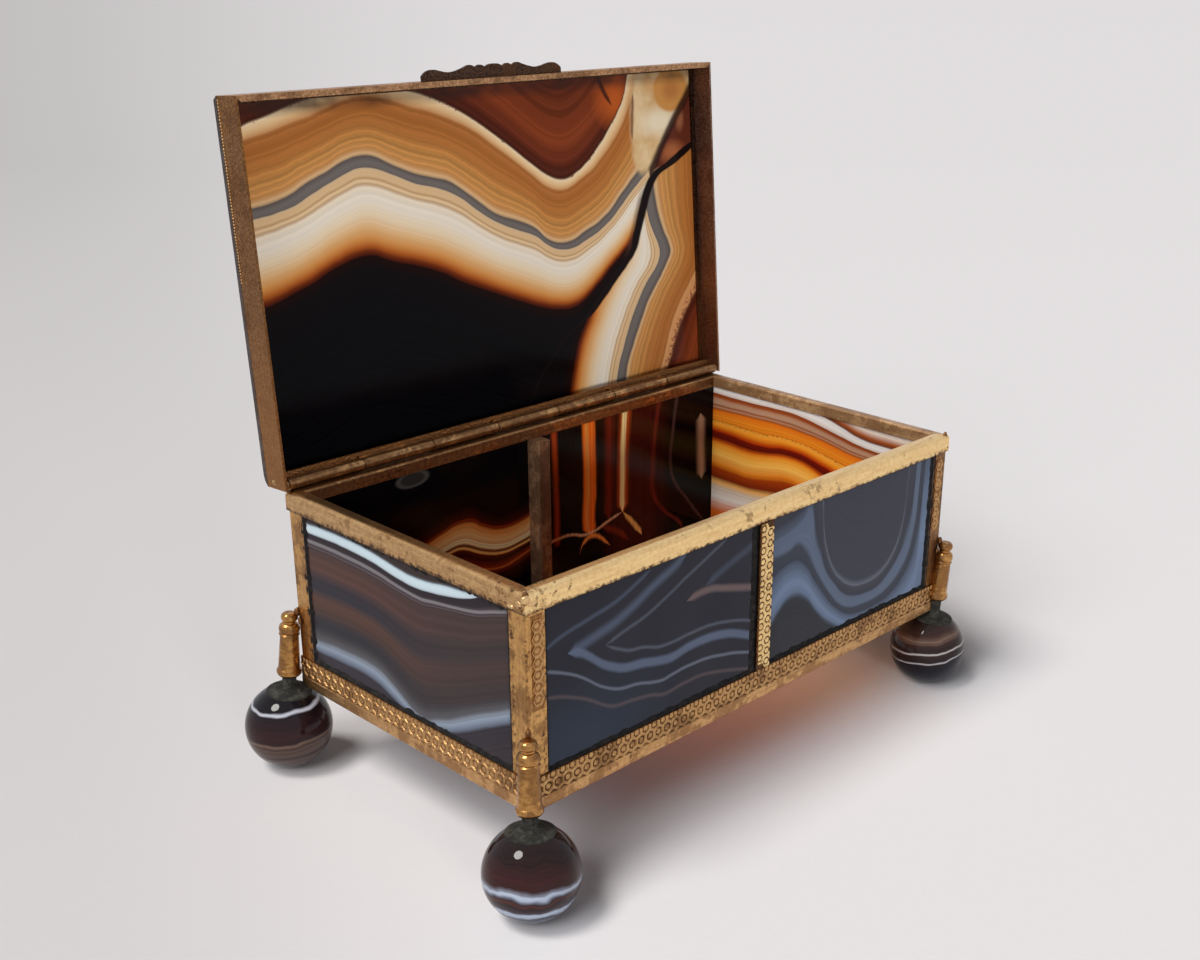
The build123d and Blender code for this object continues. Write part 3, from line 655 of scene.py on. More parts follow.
# %% Tones of the lid's layers
LID_STONE = bands((-1.0, 8, 7, 10), (-0.25, 12, 8, 10), (-0.02, 28, 8, 5), (0.05, 106, 40, 12),
                  (0.11, 172, 90, 33), (0.19, 206, 138, 70), (0.31, 220, 174, 120), (0.46, 228, 206, 172),
                  (0.64, 230, 220, 204), (0.79, 228, 212, 188), (0.815, 172, 128, 86),
                  (0.835, 226, 198, 158), (0.87, 218, 186, 142), (0.89, 172, 128, 84),
                  (0.91, 218, 186, 142), (0.955, 210, 174, 130), (0.985, 214, 184, 144),
                  (1.02, 106, 98, 94), (1.5, 110, 104, 100), (1.97, 92, 82, 78), (2.04, 212, 174, 128),
                  (2.12, 190, 134, 78), (2.3, 192, 136, 74), (2.55, 174, 112, 56), (2.8, 165, 101, 47),
                  (2.98, 172, 108, 55), (3.12, 200, 148, 98), (3.5, 222, 186, 136), (3.94, 232, 206, 168),
                  (4.03, 66, 28, 18), (4.3, 92, 38, 22))
LID_WEDGE = bands((4.3, 92, 38, 22), (4.8, 128, 58, 28), (5.4, 108, 48, 24), (6.0, 92, 40, 22))
RAMP_LOW, RAMP_JOIN, RAMP_HIGH = -1.0, 4.3, 6.0
print("lid stone from", len(LID_STONE) + len(LID_WEDGE), "tones")

# %% [markdown]
# The front right corner is the odd one: a cream patch with a tan pebble, cut off by a branch of the crack,
# and a red lens beyond the branch. These are shapes of their own, painted over the layers.

# %% The corner in front of the crack
FRONT_CRACK = [(-36, 63.5), (-29, 57.5), (-24, 53.3), (-19, 49.3), (-15, 46.6), (-12.5, 45.2)]
CORNER_EDGE = [(-36, 42), (-31, 40.5), (-26, 39.7), (-20, 39.8), (-16, 40.3), (-13.5, 41.8), (0, 46)]
CORNER_LINE = [(-31, 41), (-29, 40.7), (-25, 40.3), (-21, 40)]
DARK_STREAK = [(-36, 30), (-34.5, 30.7), (-31.5, 32.3), (-28.6, 34.4)]
PEBBLE, PEBBLE_WIDE, PEBBLE_HIGH = (53.0, -31.0), 6.0, 5.0
PALE_SPOT, PALE_WIDE, PALE_HIGH = (49.0, -24.5), 6.5, 3.2
LENS_HEART, HEART_WIDE, HEART_HIGH = (52.5, -17.5), 4.0, 2.2
LENS_TIP, TIP_WIDE, TIP_HIGH = (55.5, -24.5), 1.4, 2.6


def cream_corner(w, p, x, y, branch, colour):
    """The cream patch with its pale spot and its pebble."""
    corner = w.times(w.fit(w.minus(x, w.curve(y, CORNER_EDGE, 30.0, 50.0)), -0.5, 0.8),
                     w.fit(w.minus(branch, x), -0.3, 0.3), w.fit(y, -12.5, -14.5))
    cream = w.mix(w.fit(w.noise(p, 5.0), 0.35, 0.65), tone(202, 160, 108), tone(220, 192, 148))
    pale = w.fit(reach(w, x, y, PALE_SPOT, PALE_WIDE, PALE_HIGH), 1.3, 0.4)
    cream = w.mix(pale, cream, tone(228, 212, 182))
    pebble = reach(w, x, y, PEBBLE, PEBBLE_WIDE, PEBBLE_HIGH)
    cream = w.mix(w.fit(pebble, 1.0, 0.86), cream, tone(196, 138, 74))
    cream = w.mix(w.fit(pebble, 0.6, 0.2), cream, tone(178, 116, 60))
    return w.mix(corner, colour, cream)


def red_lens(w, x, y, branch, colour):
    """The red stone between the crack and its branch."""
    lens = w.times(w.fit(w.minus(x, branch), 0.2, 0.8), w.fit(y, -13.5, -14.5), w.fit(x, 45.0, 46.5))
    heart = w.fit(reach(w, x, y, LENS_HEART, HEART_WIDE, HEART_HIGH), 1.4, 0.3)
    red = w.mix(heart, tone(92, 42, 28), tone(158, 92, 54))
    red = w.mix(w.fit(reach(w, x, y, LENS_TIP, TIP_WIDE, TIP_HIGH), 1.3, 0.4), red, tone(142, 88, 60))
    above = w.minus(w.curve(y, CRACK, -10.0, 80.0), x)
    return w.mix(w.times(lens, w.fit(above, 0.0, 0.6)), colour, red)


def lid_corner(w, p, x, y, colour):
    """The corner, the branch of the crack, and two thin dark lines."""
    branch = w.curve(y, FRONT_CRACK, 40.0, 70.0)
    colour = cream_corner(w, p, x, y, branch, colour)
    colour = red_lens(w, x, y, branch, colour)
    colour = vein(w, colour, y, x, FRONT_CRACK, 1.25, 0.8, tone(46, 20, 16), 0.95)
    colour = vein(w, colour, y, x, CORNER_LINE, 0.35, 0.45, tone(104, 62, 38), 0.85)
    return vein(w, colour, y, x, DARK_STREAK, 0.6, 0.5, tone(44, 20, 16), 0.9)


print("corner shapes ready")

# %% [markdown]
# Now the slab is painted from the back to the front: layers by the ramps, fine lines in each of them, small
# notches and embers at the wedge, the corner, and last the crack with its smoke and a painted shade along the
# front edge.

# %% Agate of the lid
EMBERS, EMBERS_WIDE, EMBERS_HIGH = (35.5, -29.5), 7.5, 7.0
SMOKE_OFF = 1.2
WEAVE = 0.07


def lid_layers(w, x, y):
    """The value that both ramps read, whether a place is right of the crack, and the crack's own curve."""
    left = stack(w, x, y, LEFT_EDGES, -65.0, 20.0)
    rising = [[(a, -b) for a, b in points] for points in RIGHT_EDGES]
    right = stack(w, y, w.times(x, -1.0), rising, -80.0, 0.0)
    crack = w.curve(y, CRACK, -10.0, 80.0)
    beyond = w.math("GREATER_THAN", x, crack)
    return w.add("ShaderNodeMix", {0: beyond, 2: left, 3: right}), beyond, crack


def fine_lines(w, p, value, beyond):
    """The ramps' colour with the fine lines of each layer, and where the wedge is."""
    colour = w.ramp(value, LID_STONE, RAMP_LOW, RAMP_JOIN)
    colour = w.mix(w.fit(value, RAMP_JOIN - 0.05, RAMP_JOIN + 0.05), colour,
                   w.ramp(value, LID_WEDGE, RAMP_JOIN, RAMP_HIGH))
    far_rim = w.times(beyond, w.fit(value, 3.0, 3.2), w.fit(value, 4.1, 4.0))
    dots = w.fit(w.noise(p, 1.0, detail=4.0, rough=0.7), 0.5, 0.56)
    speckled = w.mix(w.times(dots, w.fit(value, 3.4, 3.8)), tone(204, 146, 94), tone(146, 80, 60))
    colour = w.mix(far_rim, colour, speckled)
    banded = w.times(w.fit(value, 1.98, 2.1), w.fit(value, 3.02, 2.95))
    wedge = w.fit(value, 4.0, 4.1)
    core = w.fit(value, 0.02, -0.05)
    white = w.times(w.fit(value, 0.1, 0.3), w.fit(value, 0.98, 0.9))
    woven = w.plus(value, w.times(w.noise(p, 2.2, detail=5.0, rough=0.7), WEAVE))
    colour = w.mix(banded, colour, layers(w, colour, woven, 0.09, 0.22))
    colour = w.mix(wedge, colour, layers(w, colour, value, 0.16, 0.22))
    colour = w.mix(white, colour, layers(w, colour, value, 0.05, 0.05))
    colour = w.mix(w.times(core, 0.5), colour, layers(w, colour, value, 0.08, 0.5))
    return colour, wedge


def notches_and_embers(w, p, x, y, value, wedge, colour):
    """Dark nicks along the wedge's rim, and the warm glow inside the wedge."""
    notch = w.times(w.fit(w.apart(value, 3.97), 0.14, 0.03),
                    w.fit(w.noise(p, 1.2, detail=4.0, rough=0.7), 0.56, 0.62))
    colour = w.mix(w.times(notch, 0.8), colour, tone(84, 42, 28))
    embers = w.times(wedge, w.fit(reach(w, x, y, EMBERS, EMBERS_WIDE, EMBERS_HIGH), 1.0, 0.2))
    return w.mix(w.times(embers, 0.85), colour, tone(192, 92, 34))


def crack_line(w, p, x, y, crack, colour):
    """The healed crack, the smoke beside it and a painted shade along the slab's front edge."""
    half = w.curve(y, CRACK_HALF, 0.0, 4.0)
    off = w.apart(x, crack)
    smoke = w.fit(w.apart(x, w.minus(crack, SMOKE_OFF)), 1.6, 0.6)
    smoke = w.times(smoke, w.fit(y, -11.0, -8.0), w.fit(y, 5.0, 2.0))
    colour = w.mix(w.times(smoke, 0.6), colour, tone(84, 52, 36))
    colour = w.mix(w.fit(w.minus(off, half), 0.3, -0.3), colour, tone(24, 14, 14))
    # Painted shade along the slab's front edge, made uneven by noise.
    front_edge_shade = w.fit(w.noise(p, 9.0, detail=3.0), 0.4, 0.6, 0.85, 0.5)
    return w.mix(w.times(w.fit(y, -32.0, -33.8), front_edge_shade), colour, tone(48, 32, 27))


def lid_agate():
    """The whole slab's material."""
    w = Wiring("agate_lid")
    p = shut_place(w)
    x, y, z = wobble(w, p, 0.3, 6.0)
    value, beyond, crack = lid_layers(w, x, y)
    colour, wedge = fine_lines(w, p, value, beyond)
    colour = notches_and_embers(w, p, x, y, value, wedge, colour)
    colour = lid_corner(w, p, x, y, colour)
    colour = crack_line(w, p, x, y, crack, colour)
    return polish(w, colour, p, shine=0.05)


slab_stone = lid_agate()
wear("lid_slab", slab_stone)
print("lid slab painted with", len(slab_stone.node_tree.nodes), "nodes")

# %% [markdown]
# ## The long front plates
# Seen from outside the plates are nearly black, and what shows is a sheen of blue-grey layers. These are
# drawn one vein at a time over a slate ground, with the height of each vein given along the plate. Seen
# from inside, light comes through, and the same stone is amber.

# %% Slate side and amber side
SLATE = tone(32, 33, 42)
BLUE_VEIN = tone(86, 97, 118)
PALE_VEIN = tone(98, 104, 118)
RUST_VEIN = tone(100, 84, 84)
AMBER = bands((-2.0, 10, 6, 8), (0.0, 24, 8, 6), (0.12, 110, 40, 10), (0.3, 190, 104, 34),
              (0.5, 222, 160, 86), (0.62, 232, 200, 150), (0.75, 214, 140, 64), (0.9, 140, 60, 22),
              (1.0, 60, 18, 10), (1.4, 120, 44, 14), (1.7, 60, 18, 10), (2.2, 14, 8, 8), (4.0, 10, 6, 8))
OUTER_STEP = 0.85


def amber_inside(level):
    """The light coming through: layers around a slow wave at a height."""
    def paint(w, p):
        x, y, z = wobble(w, p, 0.4)
        wave = w.math("MULTIPLY_ADD", w.math("SINE", w.times(x, 0.16)), 3.2, level)
        value = w.times(w.minus(wave, z), 0.14)
        return layers(w, w.ramp(value, AMBER, -2.0, 4.0), value, 0.09, 0.35)
    return paint


def dark_outside(level):
    """A slate side for the plates that the photograph sees only from inside."""
    def paint(w, p):
        x, y, z = wobble(w, p, 0.4)
        along = w.plus(x, y)
        wave = w.math("MULTIPLY_ADD", w.math("SINE", w.times(along, 0.12)), 3.0, level)
        value = w.times(w.minus(wave, z), 0.2)
        tones = [(-2.0, SLATE), (-0.5, tone(34, 35, 42)), (0.0, BLUE_VEIN), (0.14, tone(36, 37, 44)),
                 (0.9, SLATE), (1.2, tone(70, 74, 92)), (1.3, SLATE), (3.0, tone(30, 28, 33))]
        return layers(w, w.ramp(value, tones, -2.0, 3.0), value, 0.1, 0.2)
    return paint


def plate(name, axis, skin, outside_above, paint_outside, paint_inside, glow=None):
    """A stone plate with two paintings. The outer one lies above or below the place skin on one axis."""
    w = Wiring("agate_" + name)
    p = w.place()
    outer = paint_outside(w, p)
    inner = paint_inside(w, p)
    share = w.math("GREATER_THAN" if outside_above else "LESS_THAN", w.split(p)[axis], skin)
    wear("stone_" + name, polish(w, w.mix(share, inner, outer), p))
    if glow:
        w.let_through(*glow(w, p))


front_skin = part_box("stone_front_left")[0][1] / MM + OUTER_STEP
print("plate recipe ready, front plates change sides at y = %.2f mm" % front_skin)

# %% [markdown]
# Each vein of the left front plate is a row: its points, half its width, how soft its edge is, its colour
# and how strongly it shows.

# %% Front left plate
FRONT_LEFT_VEINS = [
    ([(-56, 46.3), (-52, 47.8), (-45, 49.2), (-40, 50), (-35, 51.7), (-30, 54)], 0.35, 0.4, BLUE_VEIN, 0.4),
    ([(-50.2, 44.3), (-45, 45.2), (-40, 46.2), (-35, 48), (-30, 50.3), (-25, 52.3), (-21, 54.2)], 0.8, 0.9,
      BLUE_VEIN, 0.55),
    ([(-50.2, 44.3), (-47, 43.4), (-45, 42), (-42, 39.5), (-40, 38.3), (-37, 37), (-32, 36.2), (-28, 35.2),
      (-25, 34.8), (-20, 35.4), (-15, 35.3), (-10, 34.5), (-7, 33.5), (-1, 31)], 0.85, 0.45, BLUE_VEIN,
      0.8),
    ([(-41.5, 42.9), (-38, 43.8), (-30, 45.8), (-25, 47.8), (-20, 50), (-15, 52), (-10, 54)], 0.3, 0.35,
      PALE_VEIN, 0.4),
    ([(-41.5, 42.9), (-39, 41.5), (-36, 40), (-32, 39.3), (-28, 38), (-25, 37.8), (-20, 38), (-15, 37.8),
      (-10, 37), (-1, 34.3)], 0.3, 0.3, PALE_VEIN, 0.45),
    ([(-56, 42.9), (-50, 40.5), (-46, 38), (-43, 35.7), (-40, 34), (-38, 33.2), (-33, 32.5), (-30, 31.6),
      (-27, 31), (-25, 31.2), (-20, 31.5), (-15, 31.2), (-10, 30.2), (-7, 29.5), (-1, 27.6)], 0.3, 0.25,
      PALE_VEIN, 0.75),
    ([(-56, 38), (-50, 36), (-45, 33.5), (-40, 30.5), (-35, 29.8), (-30, 29), (-27, 28), (-22, 28.2),
      (-17, 28.2), (-13, 27.5), (-8, 26.2), (-1, 24)], 0.28, 0.4, RUST_VEIN, 0.42),
    ([(-21, 44.7), (-15, 45.2), (-10, 43.9), (-1, 41.4)], 0.65, 0.5, RUST_VEIN, 0.9),
    ([(-16, 46.3), (-10, 48.4), (-1, 51)], 0.6, 0.8, BLUE_VEIN, 0.3),
]


def front_left_outside(w, p):
    x, y, z = wobble(w, p, 0.25)
    colour = w.mix(w.fit(w.noise(p, 14.0), 0.3, 0.7), SLATE, tone(38, 38, 46))
    lower = w.times(w.fit(z, 40.0, 28.0), w.fit(x, -20.0, -45.0))
    colour = w.mix(lower, colour, tone(40, 48, 62))
    for points, half, soft, vein_colour, strength in FRONT_LEFT_VEINS:
        colour = vein(w, colour, x, z, points, half, soft, vein_colour, strength)
    return colour


plate("front_left", 1, front_skin, False, front_left_outside, amber_inside(38.0))
print("front left plate:", len(FRONT_LEFT_VEINS), "veins")

# %% [markdown]
# The right front plate has wide soft bands in the shape of a wave and a cup, so it is a stack of curves
# again, with a ramp of slate and blue.

# %% Front right plate
CUP_LINE = [(0, 66), (14, 66), (17, 58), (18.2, 53), (18.6, 48), (20, 42.5), (22, 38.3), (25, 35), (28, 33),
            (30, 32.2), (33, 31.7), (37, 31.9), (40, 33), (43, 35.5), (45, 39), (46.2, 44), (46.6, 50),
            (47, 56), (48, 62), (60, 66)]
CUP_EDGE = [(0, 49.5), (3, 49.6), (8, 50.3), (12, 52), (14, 54), (15, 52), (16, 46.5), (18, 42), (20, 38),
            (23, 34.5), (26, 31.5), (30, 29.7), (35, 29), (38, 29.3), (42, 31.5), (46, 35.3), (48, 38.8),
            (49, 43), (49.4, 48), (49.6, 56), (50.5, 60), (60, 64)]
CUP_SHADE = [(0, 45.8), (3, 45.8), (8, 46), (10.5, 46.8), (13, 44.8), (16, 40.2), (19, 36), (22, 32.4),
             (25, 29.4), (28, 27.8), (33, 26.9), (38, 27), (42, 28), (46, 30.5), (49, 34.5), (50.5, 40),
             (51, 48), (51.2, 56), (52, 60), (60, 62)]
WAVE_TOP = [(0, 40.8), (3, 41.5), (7, 43), (10, 43.2), (13, 41.5), (16, 37.6), (20, 32.8), (24, 28.8),
            (28, 26.2), (33, 25.2), (38, 25.2), (43, 26), (47, 28.5), (50, 32), (52, 38), (52.6, 48),
            (53, 56), (60, 60)]
WAVE_LOW = [(0, 30.5), (3, 32), (5, 34), (8, 36), (11, 36), (14, 34.3), (17, 31), (20, 28), (23, 25.8),
            (28, 23), (40, 21), (50, 21), (54, 22), (55, 36), (55.5, 50), (60, 54)]
FRONT_RIGHT_STONE = bands((-2.0, 53, 54, 66), (-0.12, 54, 55, 67), (0.0, 90, 95, 107), (0.14, 58, 60, 71),
                          (0.85, 48, 50, 61), (1.08, 80, 91, 110), (1.8, 84, 96, 116), (2.1, 53, 57, 69),
                          (2.85, 49, 53, 65), (3.15, 76, 88, 108), (3.6, 100, 116, 142),
                          (3.9, 90, 104, 128), (4.08, 40, 42, 48), (5.0, 42, 43, 50))


def front_right_outside(w, p):
    x, y, z = wobble(w, p, 0.25)
    value = stack(w, x, z, [CUP_LINE, CUP_EDGE, CUP_SHADE, WAVE_TOP, WAVE_LOW], 20.0, 70.0)
    return layers(w, w.ramp(value, FRONT_RIGHT_STONE, -2.0, 5.0), value, 0.12, 0.06)


plate("front_right", 1, front_skin, False, front_right_outside, amber_inside(34.0))
print("front right plate:", len(FRONT_RIGHT_STONE), "tones")

# %% [markdown]
# ## The left end
# A pale blue-white band runs under the rim and another near the bottom, and the brown-grey ground between
# them is banded like wood. Along the plate the places are noted from the back to the front.

# %% Left end plate
END_WHITE = [(-34, 52.6), (-30, 52.8), (-25, 53.2), (-15, 53.4), (-10, 53.3), (-5, 52.8), (0, 52.2),
             (3, 52), (8, 52.3), (12, 53), (17, 53.5), (22, 54.3), (26, 55.4), (34, 58)]
END_WHITE_LOW = [(-34, 51), (-30, 51.1), (-20, 51.5), (-12, 51.4), (-8, 51.2), (-4, 50.7), (0, 50.2),
                 (4, 50), (8, 50.4), (12, 51), (16, 51.8), (20, 53.1), (24, 55), (34, 57.8)]
END_GREY = [(-34, 49.6), (-20, 50.1), (-10, 50), (-5, 49.6), (0, 48.9), (5, 48.6), (10, 49.2), (15, 49.9),
            (20, 50.9), (25, 52.4), (34, 55.2)]
END_GREY_LOW = [(-34, 47.8), (-20, 48.3), (-10, 48.1), (-5, 47.8), (0, 47.3), (5, 47.1), (10, 47.8),
                (15, 48.7), (20, 49.6), (25, 51.2), (34, 54)]
END_LOWER = [(-34, 28.8), (-28, 29), (-20, 29.8), (-12, 30.1), (-8, 29.6), (-4, 28), (-1, 26.4), (2, 25),
             (5, 24.6), (8, 25.6), (12, 27.2), (16, 29.2), (20, 31.2), (24, 33.2), (28, 35.2), (34, 38.5)]
END_LOWER_FOOT = [(-34, 26), (-28, 26.2), (-20, 26.6), (-14, 26.9), (-9, 26.3), (-5, 25), (0, 23.4),
                  (5, 22.6), (10, 23.6), (14, 25), (18, 26.8), (22, 28.8), (26, 31), (34, 35)]
LEFT_END_STONE = bands((-1.0, 52, 40, 40), (-0.03, 48, 38, 38), (0.02, 150, 166, 176), (0.2, 182, 198, 206),
                       (0.8, 176, 190, 198), (0.97, 130, 138, 146), (1.03, 34, 28, 34), (1.7, 38, 30, 36),
                       (1.9, 60, 52, 56), (2.0, 112, 108, 112), (2.3, 104, 98, 102), (2.42, 50, 40, 44),
                       (2.7, 76, 66, 70), (2.85, 50, 40, 40), (3.05, 66, 46, 42), (3.18, 76, 50, 44),
                       (3.3, 44, 38, 44), (3.42, 36, 35, 44), (3.52, 74, 50, 42), (3.64, 66, 46, 40),
                       (3.76, 38, 36, 42), (3.86, 40, 38, 44), (3.95, 66, 64, 68), (4.05, 100, 104, 114),
                       (4.4, 122, 134, 150), (4.75, 92, 100, 116), (5.0, 40, 36, 44), (6.0, 50, 42, 46))


def left_end_outside(w, p):
    x, y, z = wobble(w, p, 0.25)
    s = w.times(y, -1.0)
    edges = [END_WHITE, END_WHITE_LOW, END_GREY, END_GREY_LOW, END_LOWER, END_LOWER_FOOT]
    value = stack(w, s, z, edges, 20.0, 60.0)
    colour = w.ramp(value, LEFT_END_STONE, -1.0, 6.0)
    faded = w.mix(w.fit(s, -12.0, 14.0), colour, tone(54, 44, 44))
    middle = w.times(w.fit(value, 2.9, 3.05), w.fit(value, 3.92, 3.85))
    colour = w.mix(w.times(middle, 0.75), colour, faded)
    return layers(w, colour, value, 0.06, 0.16)


left_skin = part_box("stone_left")[0][0] / MM + OUTER_STEP
plate("left", 0, left_skin, False, left_end_outside, amber_inside(40.0))
print("left end plate:", len(LEFT_END_STONE), "tones")

# %% [markdown]
# ## Looking into the box
# Inside, daylight comes through the plates, so these sides are painted in amber, cream and red over black.
# The left back plate is one more stack. It also has a faint grey ring near its top, an eye in the stone.

# %% Back left plate
BACK_LEFT = [
    [(-60, 38), (-40, 38.6), (-30, 40), (-26, 41.2), (-22, 42.3), (-18, 42.2), (-15, 40.4), (-10, 38.3),
     (-5, 38.3), (0, 40)],
    [(-60, 31), (-40, 32), (-30, 34.5), (-24, 35.7), (-21, 35.8), (-15, 33.1), (-10, 31.8), (-5, 32),
     (0, 33)],
    [(-60, 27), (-40, 28), (-30, 31), (-24, 32.4), (-21, 32.2), (-15, 29.7), (-10, 28.6), (-5, 29.5),
     (0, 31)],
    [(-60, 22), (-40, 23), (-30, 26), (-21, 27.5), (-15, 25.5), (-10, 24.8), (0, 26)],
]
BACK_LEFT_STONE = bands((-1.0, 8, 7, 9), (-0.3, 20, 8, 8), (-0.1, 54, 18, 12), (0.0, 88, 24, 12),
                        (0.05, 160, 62, 22), (0.1, 122, 40, 16), (0.16, 238, 146, 70),
                        (0.36, 250, 180, 104), (0.5, 255, 206, 140), (0.62, 246, 184, 118),
                        (0.7, 255, 234, 188), (0.8, 255, 222, 160), (0.86, 134, 54, 18), (0.9, 104, 36, 14),
                        (0.95, 255, 200, 122), (1.0, 250, 172, 90), (1.06, 100, 30, 14), (1.4, 58, 16, 12),
                        (1.9, 150, 52, 20), (2.0, 226, 116, 50), (2.1, 120, 40, 20), (2.4, 56, 16, 14),
                        (3.0, 10, 8, 10), (4.0, 8, 7, 9))
RING_X, RING_Z, RING_FLAT = -32.3, 54.4, 0.42


def back_left_inside(w, p):
    x, y, z = wobble(w, p, 0.2, 5.0)
    value = stack(w, x, z, BACK_LEFT, 15.0, 50.0)
    colour = layers(w, w.ramp(value, BACK_LEFT_STONE, -1.0, 4.0), value, 0.05, 0.22)
    dx = w.times(w.minus(x, RING_X), RING_FLAT)
    dz = w.minus(z, RING_Z)
    spot = length(w, dx, dz)
    ring = w.fit(w.apart(spot, 1.5), 0.4, 0.1)
    colour = w.mix(w.times(w.fit(spot, 1.6, 1.1), 0.4), colour, tone(70, 66, 64))
    return w.mix(w.times(ring, 0.4), colour, tone(104, 100, 96))


back_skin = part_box("stone_back_left")[1][1] / MM - OUTER_STEP
plate("back_left", 1, back_skin, True, dark_outside(40.0), back_left_inside)
print("back left plate:", len(BACK_LEFT_STONE), "tones")

# %% [markdown]
# In the right back plate the layers stand upright like columns, crossed near the bottom by thin bowed rows,
# so it is drawn vein by vein: first the columns, then what covers them.

# %% Back right plate
BACK_RIGHT_COLUMNS = [
    ([(18, 6), (40, 6.3), (60, 5.6)], 0.6, 0.7, tone(200, 76, 28), 0.8),
    ([(28.5, 17), (31, 16.2), (40, 16.5), (60, 16)], 1.9, 0.5, tone(246, 118, 36), 1.0),
    ([(28.5, 16.4), (31, 15.7), (40, 15.9), (60, 15.4)], 0.35, 0.4, tone(255, 178, 84), 0.8),
    ([(31, 22.3), (40, 22.5), (60, 22.6)], 1.1, 0.9, tone(126, 36, 22), 0.8),
    ([(31.5, 26.9), (40, 26.9), (48, 27.2), (60, 28.3)], 1.5, 1.0, tone(206, 88, 28), 0.9),
    ([(31.5, 26.7), (40, 26.8), (48, 27.0), (60, 28.0)], 0.75, 0.35, tone(255, 226, 156), 1.0),
    ([(24, 33.2), (26.5, 31.5), (29, 29.3), (31.6, 26.9)], 0.75, 0.5, tone(255, 194, 108), 1.0),
    ([(22, 47), (24, 46), (28, 41), (33, 37.2), (40, 36.8), (48, 37.4), (60, 40)], 0.6, 0.6,
      tone(124, 42, 34), 0.7),
    ([(22, 55), (24, 53), (30, 48), (36, 43.6), (40, 42.8), (48, 43.6), (60, 45.6)], 0.4, 0.5,
      tone(98, 70, 68), 0.6),
    ([(33, 54), (38, 53.6), (44, 53.4), (50, 53.2)], 0.7, 1.5, tone(200, 168, 140), 0.8),
]
BACK_RIGHT_ROWS = [
    ([(1.5, 27.5), (2.5, 29), (4, 30), (7, 30.5), (11, 30.3), (14, 29.3), (18, 29.3), (22, 30.5),
      (26.6, 31.6)], 0.3, 0.3, tone(244, 190, 146), 0.9),
    ([(13, 24.6), (13.6, 26.4), (15, 27.8), (17, 28.3), (19, 27.6), (21, 26), (22.8, 24.2)], 0.5, 0.5,
      tone(255, 158, 76), 1.0),
    ([(20, 29.6), (23, 28.4), (26, 26.6), (29, 24)], 0.7, 0.8, tone(140, 50, 24), 0.8),
]


def back_right_inside(w, p):
    x, y, z = wobble(w, p, 0.2, 5.0)
    reddish = w.fit(w.apart(x, 31.0), 12.0, 5.0)
    colour = w.mix(reddish, tone(10, 9, 11), tone(66, 20, 16))
    for points, half, soft, vein_colour, strength in BACK_RIGHT_COLUMNS:
        colour = vein(w, colour, z, x, points, half, soft, vein_colour, strength)
    below = w.fit(z, 29.8, 28.4)
    colour = w.mix(w.times(below, w.fit(x, 13.5, 12.5)), colour, tone(8, 7, 9))
    for points, half, soft, vein_colour, strength in BACK_RIGHT_ROWS:
        colour = vein(w, colour, x, z, points, half, soft, vein_colour, strength)
    return layers(w, colour, x, 0.7, 0.25)


plate("back_right", 1, back_skin, True, dark_outside(36.0), back_right_inside)
print("back right plate:", len(BACK_RIGHT_COLUMNS) + len(BACK_RIGHT_ROWS), "veins")

# %% [markdown]
# The right end is the brightest plate, white, orange and red in waves, with a row of tiny dark beads along
# one of its layers.

# %% Right end plate
RIGHT_END = [
    [(-34, 56.3), (-20, 56.4), (-10, 56.7), (-3, 56.4), (3, 55.3), (8, 53.9), (13, 52.7), (19, 52.3),
     (34, 52.5)],
    [(-34, 54.3), (-20, 54.1), (-8, 54.3), (-3, 53.9), (3, 52.8), (8, 51.8), (13, 51), (18, 50.6),
     (34, 50)],
    [(-34, 49.9), (-20, 50.4), (-10, 50.6), (0, 49.9), (5, 49.2), (10, 48.4), (20, 47.5), (34, 46)],
    [(-34, 44.9), (-25, 44.7), (-20, 44.3), (-15, 44.4), (-8, 45.3), (-3, 45), (3, 43.7), (8, 42.4),
     (34, 40)],
    [(-34, 42.3), (-25, 42), (-20, 41.7), (-15, 42.3), (-8, 43.2), (-3, 42.8), (3, 41), (8, 39.6),
     (34, 37)],
    [(-34, 36.4), (-25, 36), (-20, 35.8), (-13, 37), (-8, 37.8), (-3, 37.4), (3, 36), (34, 33)],
    [(-34, 32), (-20, 31.8), (-12, 32.4), (-6, 33.2), (34, 30)],
    [(-34, 26.2), (-20, 26.6), (-12, 27.4), (34, 26)],
]
RIGHT_END_STONE = bands((-1.0, 226, 214, 204), (-0.25, 220, 204, 190), (-0.12, 164, 84, 38),
                        (-0.02, 96, 44, 26), (0.03, 214, 208, 204), (0.5, 226, 222, 220),
                        (0.95, 206, 190, 178), (1.02, 126, 54, 24), (1.2, 150, 74, 36),
                        (1.35, 172, 128, 100), (1.6, 178, 140, 112), (1.7, 134, 60, 28),
                        (1.8, 180, 136, 104), (1.92, 150, 74, 34), (2.03, 216, 108, 24),
                        (2.3, 228, 136, 34), (2.5, 216, 120, 28), (2.56, 236, 164, 60),
                        (2.75, 230, 138, 34), (2.95, 180, 60, 12), (3.1, 110, 24, 10), (3.6, 88, 20, 12),
                        (3.95, 190, 80, 16), (4.15, 230, 150, 46), (4.5, 236, 178, 82),
                        (4.95, 212, 120, 30), (5.2, 150, 56, 14), (5.7, 110, 36, 14), (6.0, 220, 166, 92),
                        (6.25, 196, 178, 160), (6.7, 214, 206, 196), (7.2, 190, 90, 28))
BEADED_LAYER = 2.53


